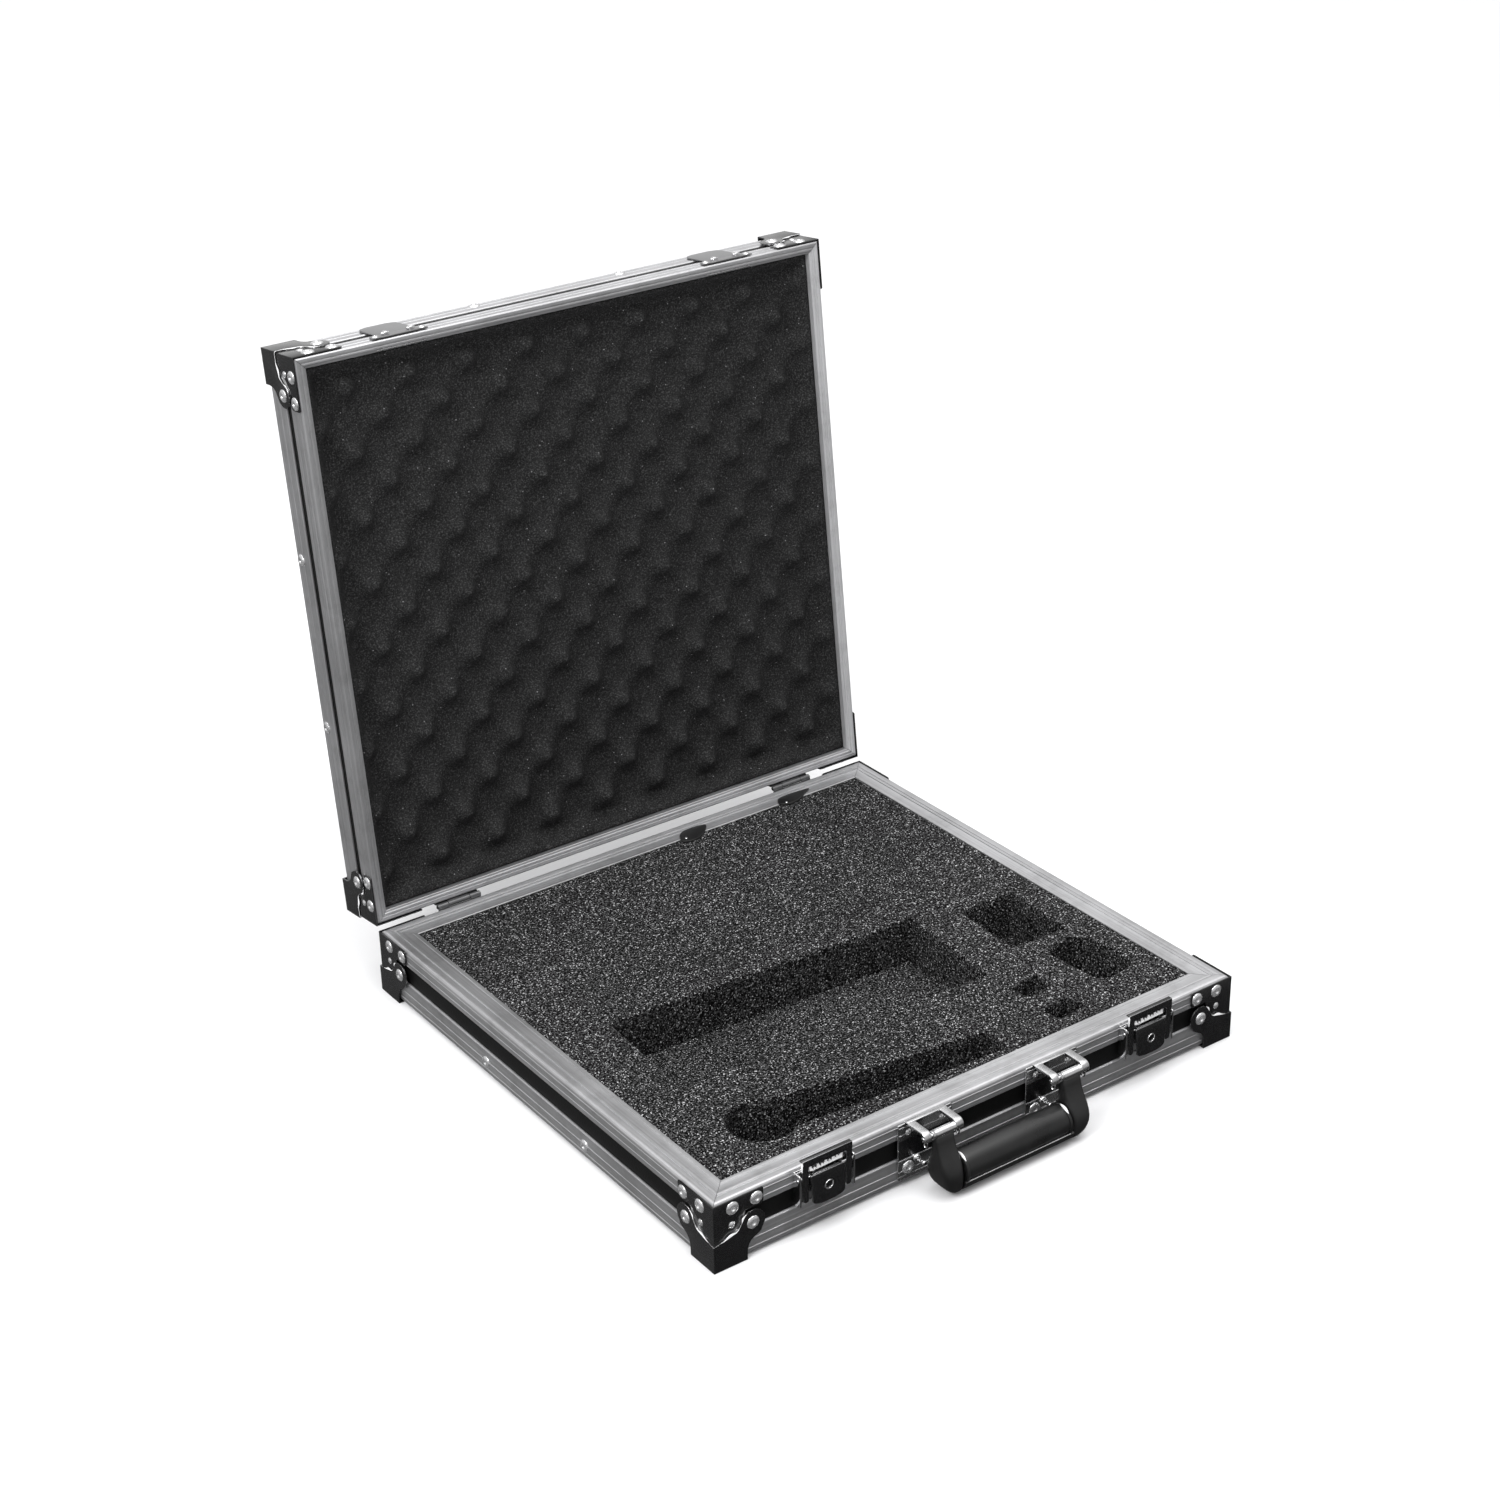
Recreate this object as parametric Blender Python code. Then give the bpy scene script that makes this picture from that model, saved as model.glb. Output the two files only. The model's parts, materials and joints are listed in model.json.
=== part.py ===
"""Aluminium attache case, lid standing open.

Frame: +Z up, floor at z = 0 under the corner caps, origin at the middle of the base's footprint,
front (handle and latches) towards -Y, hinges towards +Y, +X to the right.
All driving dimensions below are millimetres; MM turns them into the scene's metres.
"""

import math

import bmesh
import bpy
from mathutils import Matrix, Vector

MM = 0.001

# ---- driving dimensions, mm ------------------------------------------------------------------
WIDTH = 495.0          # over the corner braces, along X
DEPTH = 472.0          # over the corner braces, along Y
BASE_H = 55.6          # floor to the base's rim
LID_H = 51.0           # lid rim to the top of the lid's corners
OPEN_ANGLE = 96.3      # how far the lid leans back from closed, degrees
BOARD = 4.0            # laminated side boards
BOARD_IN = 3.4         # inset of the boards' outer face
EDGE_IN = 1.35         # inset of the beads on the extrusions
RIM_IN = 23.8          # width of the base's rim
LID_RIM_IN = 10.9      # width of the lid's rim
RIM_GAP = 0.35         # lid rim to base rim when shut

PIN_BACK = 1.7         # hinge pin behind the back face
PIN_UP = 0.4           # hinge pin above the rim
HINGE_X = 171.0
HINGE_W = 40.0
KNUCKLE_R, PIN_R = 2.2, 1.0

LATCH_X = 154.0
LATCH_AXIS_OUT = 4.5   # lever pin, in front of the front face
LATCH_AXIS_Z = 49.5
CLAW_AXIS_DROP = 6.0   # claw trunnions below the lever pin

BRACKET_X = 60.5
HANDLE_OUT = 20.0      # handle pin in front of the front face
HANDLE_Z = 51.4
GRIP_OUT, GRIP_Z, GRIP_R = 24.0, 16.9, 13.9
GRIP_HALF = 50.6

RIVET_R, RIVET_H = 4.8, 1.5

FRONT = -DEPTH / 2     # y of the front face
BACK = DEPTH / 2

# ---- clean scene, collections, materials ----------------------------------------------------
for old in list(bpy.data.objects):
    bpy.data.objects.remove(old, do_unlink=True)

scene = bpy.context.scene
case = bpy.data.collections.new("aluminium_attache_case")
cutters = bpy.data.collections.new("aluminium_attache_case_cutters")
cutters.hide_render = True
scene.collection.children.link(case)
scene.collection.children.link(cutters)


def principled(name, colour, roughness, metallic):
    mat = bpy.data.materials.new(name)
    mat.use_nodes = True
    shader = next(n for n in mat.node_tree.nodes if n.type == "BSDF_PRINCIPLED")
    shader.inputs["Base Color"].default_value = (*colour, 1.0)
    shader.inputs["Roughness"].default_value = roughness
    shader.inputs["Metallic"].default_value = metallic
    mat.diffuse_color = (*colour, 1.0)
    return mat


ALUMINIUM = ("aluminium", (0.66, 0.66, 0.67), 0.34, 1.0)
LAMINATE = ("black_laminate", (0.012, 0.012, 0.013), 0.42, 0.0)
BLACK_PLATE = ("black_plated_steel", (0.02, 0.02, 0.021), 0.22, 0.8)
CHROME = ("chrome", (0.78, 0.78, 0.79), 0.10, 1.0)
STEEL = ("hinge_steel", (0.35, 0.35, 0.36), 0.32, 1.0)
FOAM = ("charcoal_foam", (0.045, 0.045, 0.047), 0.95, 0.0)
EGG_FOAM = ("convoluted_foam", (0.03, 0.03, 0.032), 0.97, 0.0)
MOULDED = ("moulded_black", (0.014, 0.014, 0.015), 0.38, 0.0)


# ---- mesh helpers: every helper returns mesh data in millimetres' world place ------------------
def weld(mesh, recalc=True):
    bm = bmesh.new()
    bm.from_mesh(mesh)
    bmesh.ops.remove_doubles(bm, verts=bm.verts, dist=1e-6)
    if recalc:
        bmesh.ops.recalc_face_normals(bm, faces=bm.faces)
    bm.to_mesh(mesh)
    bm.free()
    return mesh


def outline(name, loops, depth):
    """A flat outline (mm) with any holes, extruded by depth (mm) about z = 0, as a mesh."""
    curve = bpy.data.curves.new(name, "CURVE")
    curve.dimensions = "2D"
    curve.fill_mode = "BOTH"
    curve.extrude = depth / 2 * MM
    for points in loops:
        spline = curve.splines.new("POLY")
        spline.points.add(len(points) - 1)
        for point, (x, y) in zip(spline.points, points):
            point.co = (x * MM, y * MM, 0.0, 1.0)
        spline.use_cyclic_u = True
    obj = bpy.data.objects.new(name, curve)
    scene.collection.objects.link(obj)
    graph = bpy.context.evaluated_depsgraph_get()
    mesh = bpy.data.meshes.new_from_object(obj.evaluated_get(graph))
    bpy.data.objects.remove(obj, do_unlink=True)
    bpy.data.curves.remove(curve)
    return weld(mesh)


def moved(mesh, matrix):
    mesh.transform(matrix)
    if matrix.to_3x3().determinant() < 0:
        mesh.flip_normals()
    return mesh


def shift(x, y, z):
    return Matrix.Translation(Vector((x, y, z)) * MM)


# local XY outline stood up: outline x -> world X, outline y -> world Z, thickness -> world -Y / +Y
STAND_FRONT = Matrix(((1, 0, 0, 0), (0, 0, -1, 0), (0, 1, 0, 0), (0, 0, 0, 1)))
# outline x -> world Y, outline y -> world Z, thickness -> world X
STAND_SIDE = Matrix(((0, 0, 1, 0), (1, 0, 0, 0), (0, 1, 0, 0), (0, 0, 0, 1)))


def plate_xz(name, loops, y0, y1):
    mesh = outline(name, loops, abs(y1 - y0))
    return moved(mesh, shift(0, (y0 + y1) / 2, 0) @ STAND_FRONT)


def plate_yz(name, loops, x0, x1):
    mesh = outline(name, loops, abs(x1 - x0))
    return moved(mesh, shift((x0 + x1) / 2, 0, 0) @ STAND_SIDE)


def plate_xy(name, loops, z0, z1):
    mesh = outline(name, loops, abs(z1 - z0))
    return moved(mesh, shift(0, 0, (z0 + z1) / 2))


def box(x0, x1, y0, y1, z0, z1):
    mesh = bpy.data.meshes.new("box")
    bm = bmesh.new()
    size = Matrix.Diagonal((abs(x1 - x0) * MM, abs(y1 - y0) * MM, abs(z1 - z0) * MM, 1.0))
    bmesh.ops.create_cube(
        bm, size=1.0, matrix=shift((x0 + x1) / 2, (y0 + y1) / 2, (z0 + z1) / 2) @ size
    )
    bm.to_mesh(mesh)
    bm.free()
    return mesh


def rod(start, end, radius, segments=12, radius_end=None):
    """A round bar, or a frustum, from one point to the other (mm)."""
    a, b = Vector(start) * MM, Vector(end) * MM
    mesh = bpy.data.meshes.new("rod")
    bm = bmesh.new()
    turn = (b - a).to_track_quat("Z", "Y").to_matrix().to_4x4()
    bmesh.ops.create_cone(
        bm,
        cap_ends=True,
        cap_tris=False,
        segments=segments,
        radius1=radius * MM,
        radius2=(radius if radius_end is None else radius_end) * MM,
        depth=(b - a).length,
        matrix=Matrix.Translation((a + b) / 2) @ turn,
    )
    bm.to_mesh(mesh)
    bm.free()
    return mesh


def together(name, meshes):
    """Several loose bodies in one mesh, used as one Boolean operand."""
    bm = bmesh.new()
    for mesh in meshes:
        bm.from_mesh(mesh)
    out = bpy.data.meshes.new(name)
    bm.to_mesh(out)
    bm.free()
    return out


def fuse(name, add, cut=()):
    """One body: the meshes of add joined, then the meshes of cut taken away."""
    scratch = []

    def temp(mesh):
        obj = bpy.data.objects.new("scratch", mesh)
        scene.collection.objects.link(obj)
        scratch.append(obj)
        return obj

    body = temp(add[0])
    for operation, meshes in (("UNION", add[1:]), ("DIFFERENCE", cut)):
        for mesh in meshes:
            mod = body.modifiers.new(operation.lower(), "BOOLEAN")
            mod.operation = operation
            mod.solver = "EXACT"
            mod.object = temp(mesh)
    graph = bpy.context.evaluated_depsgraph_get()
    graph.update()
    result = bpy.data.meshes.new_from_object(body.evaluated_get(graph))
    result.name = name
    for obj in scratch:
        bpy.data.objects.remove(obj, do_unlink=True)
    return weld(result, recalc=False)


def empty(name, place):
    obj = bpy.data.objects.new(name, None)
    obj.empty_display_size = 0.02
    obj.location = Vector(place) * MM
    case.objects.link(obj)
    return obj


def part(name, mesh, material, parent=None, smooth=32.0):
    mesh.name = name
    mesh.materials.clear()
    mesh.materials.append(material)
    mesh.shade_smooth()
    mesh.set_sharp_from_angle(angle=math.radians(smooth))
    obj = bpy.data.objects.new(name, mesh)
    case.objects.link(obj)
    if parent is not None:
        obj.parent = parent
        bpy.context.view_layer.update()
        obj.matrix_parent_inverse = parent.matrix_world.inverted()
    return obj


# ---- moving frames --------------------------------------------------------------------------
hinge_pin = (0.0, BACK + PIN_BACK, BASE_H + PIN_UP)
lid_axis = empty("lid_axis", hinge_pin)
handle_axis = empty("handle_axis", (0.0, FRONT - HANDLE_OUT, HANDLE_Z))

mats = {}


def material(spec):
    if spec[0] not in mats:
        mats[spec[0]] = principled(*spec)
    return mats[spec[0]]


# ---- extrusions: one profile in (inset from the outer face, height) -----------------------------
def bead(height, out):
    """A small half-round bead standing on an extrusion's outer face, listed going up."""
    face, top = 1.75, EDGE_IN
    return [(face, height - 0.65 * out), (top, height - 0.25 * out), (top, height + 0.25 * out), (face, height + 0.65 * out)]


BASE_LIP = (
    [(3.1, 40.7), (2.1, 40.7), (1.75, 41.1)]
    + bead(45.1, 1)
    + bead(51.4, 1)
    + [
        (1.75, 52.4), (1.95, 53.4), (2.9, 54.9), (4.3, BASE_H),
        (9.0, BASE_H), (9.35, BASE_H - 0.6), (10.1, BASE_H - 0.6), (10.5, BASE_H),
        (12.6, BASE_H), (13.7, BASE_H - 1.0), (20.3, BASE_H - 1.0), (21.0, BASE_H - 0.4),
        (22.8, BASE_H - 0.4), (RIM_IN, BASE_H - 1.2), (RIM_IN, 46.5), (22.4, 46.5),
        (22.4, 53.0), (3.1, 53.0),
    ]
)
EDGE = (
    [
        (3.1, 24.4), (3.1, 2.9), (24.0, 2.9), (24.0, 1.6),
        (5.0, 1.6), (3.5, 1.7), (2.4, 2.2), (1.9, 3.3), (1.76, 4.6),
    ]
    + bead(6.1, 1)
    + bead(13.4, 1)
    + bead(23.0, 1)
    + [(1.75, 24.0), (2.1, 24.4)]
)
LID_LIP = (
    [(3.1, 18.7), (2.1, 18.7), (1.75, 18.3)]
    + list(reversed(bead(14.4, 1)))
    + list(reversed(bead(6.9, 1)))
    + [
        (1.75, 2.4), (2.2, 1.0), (3.3, RIM_GAP), (5.8, RIM_GAP), (6.1, 1.0), (6.7, 1.0),
        (7.0, 0.6), (8.6, 0.6), (9.0, 1.8), (10.4, 1.8), (LID_RIM_IN, 2.4), (LID_RIM_IN, 9.0),
        (9.6, 9.0), (9.6, 3.6), (3.1, 3.6),
    ]
)


def extrusion(name, profile, side, base_z, sign, parent=None):
    """A length of extrusion with mitred ends on one side of the case.

    profile: (inset, height) in mm; world height = base_z + sign * height.
    """
    half = (WIDTH if side in ("front", "back") else DEPTH) / 2
    away = (DEPTH if side in ("front", "back") else WIDTH) / 2
    mesh = outline(name, [profile], 2 * half)
    for vertex in mesh.vertices:
        inset, height, along = vertex.co / MM
        end = math.copysign(half - inset, along)
        vertex.co = Vector((end, inset - away, base_z + sign * height)) * MM
    turn = {"front": 0.0, "right": 90.0, "back": 180.0, "left": -90.0}[side]
    mesh.transform(Matrix.Rotation(math.radians(turn), 4, "Z"))
    return part(name, weld(mesh), material(ALUMINIUM), parent)


for side in ("front", "back", "left", "right"):
    extrusion(f"base_lip_{side}", BASE_LIP, side, 0.0, 1, None)
    extrusion(f"base_edge_{side}", EDGE, side, 0.0, 1, None)
    extrusion(f"lid_lip_{side}", LID_LIP, side, BASE_H, 1, lid_axis)
    extrusion(f"lid_edge_{side}", EDGE, side, BASE_H + LID_H, -1, lid_axis)


# ---- boards, panels and foam ------------------------------------------------------------------
def rectangle(inset):
    x, y = WIDTH / 2 - inset, DEPTH / 2 - inset
    return [(-x, -y), (x, -y), (x, y), (-x, y)]


def slab(inset, z0, z1):
    x, y = WIDTH / 2 - inset, DEPTH / 2 - inset
    return box(-x, x, -y, y, z0, z1)


walls = [rectangle(BOARD_IN), rectangle(BOARD_IN + BOARD)]
lid_top = BASE_H + LID_H
part("base_bottom_panel", slab(BOARD_IN, 3.2, 6.2), material(LAMINATE))
part("base_wall_frame", plate_xy("walls", walls, 6.5, 52.7), material(LAMINATE))
part("lid_top_panel", slab(BOARD_IN, lid_top - 6.2, lid_top - 3.2), material(LAMINATE), lid_axis)
part("lid_wall_frame", plate_xy("walls", walls, BASE_H + 3.9, lid_top - 6.5), material(LAMINATE), lid_axis)

FOAM_TOP = BASE_H - 0.9
PAD_TOP = 14.2
part("base_foam_pad", slab(7.8, 6.5, PAD_TOP), material(FOAM))
part("lid_foam", slab(LID_RIM_IN + 0.4, BASE_H + 3.2, lid_top - 6.5), material(EGG_FOAM), lid_axis)

foam = part(
    "base_foam",
    fuse("foam", [slab(7.8, PAD_TOP + 0.3, 46.1), slab(RIM_IN + 0.3, 40.0, FOAM_TOP)]),
    material(FOAM),
)


def rounded(cx, cy, w, h, r, turn=0.0, steps=3):
    """A rectangle with rounded corners, turned by an angle in degrees."""
    points = []
    for sx, sy, start in ((1, 1, 0), (-1, 1, 90), (-1, -1, 180), (1, -1, 270)):
        for i in range(steps + 1):
            a = math.radians(start + 90.0 * i / steps)
            points.append((sx * (w / 2 - r) + r * math.cos(a), sy * (h / 2 - r) + r * math.sin(a)))
    c, s = math.cos(math.radians(turn)), math.sin(math.radians(turn))
    return [(cx + c * x - s * y, cy + s * x + c * y) for x, y in points]


def microphone_outline():
    """Ball head, then a tapering body: a circle that runs into a wedge."""
    head, r, tail = Vector((-158.5, -170.0)), 26.0, Vector((45.0, -192.0))
    along = (tail - head).normalized()
    across = Vector((-along.y, along.x))
    length = (tail - head).length
    points = []
    join = math.asin(19.0 / r)
    for i in range(13):
        a = join + (2 * math.pi - 2 * join) * i / 12
        points.append(head + along * r * math.cos(a) + across * r * math.sin(a))
    tip = 13.5
    points += [head + along * (length - 5) - across * tip, head + along * length - across * (tip - 5)]
    points += [head + along * length + across * (tip - 5), head + along * (length - 5) + across * tip]
    return [tuple(p) for p in points]


POCKETS = {
    "receiver_pocket": rounded(-37.0, -56.3, 281.0, 105.0, 3.0, -3.4),
    "microphone_pocket": microphone_outline(),
    "battery_pocket_rear": rounded(115.5, -151.0, 27.5, 18.0, 2.0, 6.0),
    "battery_pocket_front": rounded(114.0, -189.0, 27.5, 18.0, 2.0, 5.0),
    "adapter_pocket": rounded(170.5, -64.5, 54.0, 70.0, 4.0, -3.0),
    "clip_pocket": rounded(181.0, -146.0, 41.0, 62.0, 12.0, 6.0),
}
for name, points in POCKETS.items():
    mesh = plate_xy(name, [points], PAD_TOP - 3.0, BASE_H + 5.0)
    cutter = bpy.data.objects.new(name, mesh)
    cutter.hide_render = True
    cutter.display_type = "WIRE"
    cutters.objects.link(cutter)
    mod = foam.modifiers.new(name, "BOOLEAN")
    mod.operation = "DIFFERENCE"
    mod.solver = "EXACT"
    mod.object = cutter


# ---- corners: built at the corner (0, 0, 0), s along +X, t along +Y, z up from the floor ---------
def arc(cx, cz, r, start, end, steps):
    return [
        (cx + r * math.cos(math.radians(start + (end - start) * i / steps)),
         cz + r * math.sin(math.radians(start + (end - start) * i / steps)))
        for i in range(steps + 1)
    ]


def cap_side(horn_z, r):
    """One wing of the corner cap: foot, waist, rounded horn, and the V that shows the brace."""
    return (
        [(-0.9, 0.0), (27.8, 0.0), (27.8, 6.0), (29.0, 12.0), (33.0, 16.0), (39.5, 18.6)]
        + arc(33.0, horn_z, r, -38.0, 112.0, 8)
        + [(25.2, horn_z + 6.6), (22.5, horn_z + 3.6), (18.0, horn_z + 0.6), (-0.9, 22.4)]
    )


def cap_inner(horn_z, r):
    """The same wing where nothing lies under it, thickened down to the extrusion."""
    return (
        [(0.3, 0.4), (27.4, 0.4), (27.4, 6.0), (28.7, 12.2), (32.8, 16.4), (39.2, 19.0)]
        + arc(33.0, horn_z, r - 0.4, -38.0, 106.0, 8)
        + [(27.8, horn_z + 6.4), (25.8, horn_z + 4.6), (20.6, horn_z - 1.2), (0.3, 18.8)]
    )


def brace_side(top, horn_z):
    return [
        (0.3, 19.4), (20.2, horn_z - 0.6), (25.2, horn_z + 5.4), (27.4, 41.4 if top > 52 else 37.6),
        (43.0, 41.4 if top > 52 else 37.6), (43.0, top), (0.3, top),
    ]


def both_ways(make):
    """The same plate on the X side and on the Y side of the corner."""
    one = make()
    swap = Matrix(((0, 1, 0, 0), (1, 0, 0, 0), (0, 0, 1, 0), (0, 0, 0, 1)))
    return [one, moved(make(), swap)]


def stud(s, z, face, r):
    """A rivet head on the plate whose outer face lies at t = face."""
    return rod((s, face + 0.3, z), (s, face - RIVET_H, z), r, 8, r * 0.62)


def corner_cap(horn_z, r):
    plates = both_ways(lambda: plate_xz("cap", [cap_side(horn_z, r)], -0.9, 0.0))
    inner = both_ways(lambda: plate_xz("cap", [cap_inner(horn_z, r)], -0.15, 1.05))
    foot = plate_xy("cap", [[(-0.9, -0.9), (27.8, -0.9), (27.8, 9.0), (9.0, 27.8), (-0.9, 27.8)]], 0.0, 1.2)
    studs = both_ways(lambda: stud(33.0, horn_z, -0.9, RIVET_R))
    return fuse("corner_cap", [plates[0], plates[1], foot, inner[0], inner[1], together("studs", studs)])


def corner_brace(top, row, small, horn_z):
    plates = both_ways(lambda: plate_xz("brace", [brace_side(top, horn_z)], 0.3, 1.1))
    studs = []
    for s, z, r in ((16.6, row, RIVET_R), (37.0, row, RIVET_R), (15.8, small, 2.5)):
        studs += both_ways(lambda: stud(s, z, 0.3, r))
    return fuse("corner_brace", [plates[0], plates[1], together("studs", studs)])


base_cap, base_brace = corner_cap(29.4, 10.4), corner_brace(54.9, 47.9, 34.2, 29.4)
lid_cap, lid_brace = corner_cap(27.8, 9.8), corner_brace(50.3, 44.3, 33.0, 27.8)

for place, sx, sy in (("front_left", -1, -1), ("front_right", 1, -1), ("back_left", -1, 1), ("back_right", 1, 1)):
    spot = Vector((sx * WIDTH / 2, sy * DEPTH / 2, 0.0)) * MM
    turn = Matrix.Diagonal((-sx, -sy, 1.0, 1.0))
    low = Matrix.Translation(spot) @ turn
    high = Matrix.Translation(spot + Vector((0, 0, lid_top * MM))) @ Matrix.Diagonal((-sx, -sy, -1.0, 1.0))
    part(f"base_corner_{place}", moved(base_cap.copy(), low), material(BLACK_PLATE))
    part(f"base_brace_{place}", moved(base_brace.copy(), low), material(BLACK_PLATE))
    part(f"lid_corner_{place}", moved(lid_cap.copy(), high), material(BLACK_PLATE), lid_axis)
    part(f"lid_brace_{place}", moved(lid_brace.copy(), high), material(BLACK_PLATE), lid_axis)


# ---- hinges -----------------------------------------------------------------------------------
py, pz = hinge_pin[1], hinge_pin[2]
for side, x in (("left", -HINGE_X), ("right", HINGE_X)):
    half, split, gap = HINGE_W / 2, 10.3, 0.4
    leaf = [
        box(x - half, x + half, BACK - 1.05, BACK, 41.6, pz - 2.2),
        box(x - half, x - split, BACK - 1.05, BACK + 0.3, pz - 2.8, pz - 0.2),
        box(x + split, x + half, BACK - 1.05, BACK + 0.3, pz - 2.8, pz - 0.2),
        together("knuckles", [
            rod((x - half, py, pz), (x - split, py, pz), KNUCKLE_R, 16),
            rod((x + split, py, pz), (x + half, py, pz), KNUCKLE_R, 16),
        ]),
    ]
    bore = rod((x - half - 5, py, pz), (x + half + 5, py, pz), PIN_R + 0.33, 12)
    part(f"hinge_base_leaf_{side}", fuse("leaf", leaf, [bore]), material(STEEL))

    def flipped(z):
        return 2 * pz - z

    inner = split - gap
    leaf = [
        box(x - half, x + half, BACK - 1.05, BACK, pz + 2.2, flipped(41.6)),
        box(x - inner, x + inner, BACK - 1.05, BACK + 0.3, pz + 0.2, pz + 2.8),
        rod((x - inner, py, pz), (x + inner, py, pz), KNUCKLE_R, 16),
    ]
    bore = rod((x - half - 5, py, pz), (x + half + 5, py, pz), PIN_R + 0.33, 12)
    part(f"hinge_lid_leaf_{side}", fuse("leaf", leaf, [bore]), material(STEEL), lid_axis)
    part(f"hinge_pin_{side}", rod((x - half - 0.8, py, pz), (x + half + 0.8, py, pz), PIN_R, 12), material(STEEL))


# ---- latches ----------------------------------------------------------------------------------
def out(q):
    """World y (mm) of a point q mm in front of the front face."""
    return FRONT - q


for side, x in (("left", -LATCH_X), ("right", LATCH_X)):
    ax_q, ax_z = LATCH_AXIS_OUT, LATCH_AXIS_Z
    tr_q, tr_z = LATCH_AXIS_OUT + 0.1, LATCH_AXIS_Z - CLAW_AXIS_DROP

    lever_axis = empty(f"latch_lever_axis_{side}", (x, out(ax_q), ax_z))
    claw_axis = empty(f"latch_claw_axis_{side}", (x, out(tr_q), tr_z))
    bpy.context.view_layer.update()
    claw_axis.parent = lever_axis
    claw_axis.matrix_parent_inverse = lever_axis.matrix_world.inverted()

    plate = [
        box(x - 24.4, x + 24.4, out(0.15), out(-1.05), 27.0, 54.8),
        box(x - 24.4, x - 23.1, out(7.2), out(-0.3), 30.0, 54.8),
        box(x + 23.1, x + 24.4, out(7.2), out(-0.3), 30.0, 54.8),
        rod((x - 23.6, out(ax_q), ax_z), (x + 23.6, out(ax_q), ax_z), 1.2, 10),
    ]
    part(f"latch_plate_{side}", fuse("plate", plate), material(CHROME))

    flap = [
        (x - 15.5, 52.0), (x - 14.2, 29.0), (x - 12.0, 27.4), (x - 6.5, 26.4), (x, 26.0),
        (x + 6.5, 26.4), (x + 12.0, 27.4), (x + 14.2, 29.0), (x + 15.5, 52.0),
    ]
    hole = [(x + px, pz_) for px, pz_ in arc(0.0, 40.0, 3.9, 0.0, 337.5, 15)]
    lever = [
        plate_xz("flap", [flap, hole], out(9.0), out(7.6)),
        box(x - 13.6, x - 12.3, out(7.9), out(2.4), 40.5, 52.0),
        box(x + 12.3, x + 13.6, out(7.9), out(2.4), 40.5, 52.0),
        rod((x - 19.6, out(tr_q), tr_z), (x - 13.0, out(tr_q), tr_z), 1.2, 10),
        rod((x + 13.0, out(tr_q), tr_z), (x + 19.6, out(tr_q), tr_z), 1.2, 10),
    ]
    bore = rod((x - 30, out(ax_q), ax_z), (x + 30, out(ax_q), ax_z), 1.6, 12)
    part(f"latch_lever_{side}", fuse("lever", lever, [bore]), material(BLACK_PLATE), lever_axis)

    frame = [
        (x - 22.2, 66.0), (x - 22.2, 27.5), (x - 16.6, 29.0), (x - 16.6, 60.0),
        (x + 16.6, 60.0), (x + 16.6, 29.0), (x + 22.2, 27.5), (x + 22.2, 66.0),
    ]
    claw = [
        plate_xz("claw", [frame], out(7.2), out(6.1)),
        box(x - 22.2, x + 22.2, out(6.8), out(3.2), 64.8, 66.0),
        box(x - 18.3, x - 17.0, out(6.5), out(2.4), 39.7, 47.3),
        box(x + 17.0, x + 18.3, out(6.5), out(2.4), 39.7, 47.3),
    ]
    bores = [
        rod((x - 25, out(tr_q), tr_z), (x - 15, out(tr_q), tr_z), 1.6, 12),
        rod((x + 15, out(tr_q), tr_z), (x + 25, out(tr_q), tr_z), 1.6, 12),
    ]
    part(f"latch_claw_{side}", fuse("claw", claw, [together("bores", bores)]), material(BLACK_PLATE), claw_axis)

    lock = part(
        f"latch_lock_{side}", rod((0, 0.8, 0), (0, -1.7, 0), 3.55, 16), material(CHROME)
    )
    lock.location = Vector((x, out(7.6), 40.0)) * MM
    bpy.context.view_layer.update()
    lock.parent = lever_axis
    lock.matrix_parent_inverse = lever_axis.matrix_world.inverted()

    up = BASE_H
    catch = [
        plate_xz(
            "catch",
            [[(x - 17.0, up + 0.9), (x + 17.0, up + 0.9)] + [(x + cx, up + cz) for cx, cz in arc(8.0, 34.0, 9.0, 0, 90, 4)]
             + [(x + cx, up + cz) for cx, cz in arc(-8.0, 34.0, 9.0, 90, 180, 4)]],
            out(-0.05), out(-1.05),
        ),
        box(x - 24.0, x + 24.0, out(-0.1), out(-1.0), up + 1.1, up + 9.0),
        box(x - 13.0, x - 9.2, out(2.8), out(-0.6), up + 3.5, up + 8.4),
        box(x + 9.2, x + 13.0, out(2.8), out(-0.6), up + 3.5, up + 8.4),
    ]
    part(f"lid_catch_{side}", fuse("catch", catch), material(CHROME), lid_axis)


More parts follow.
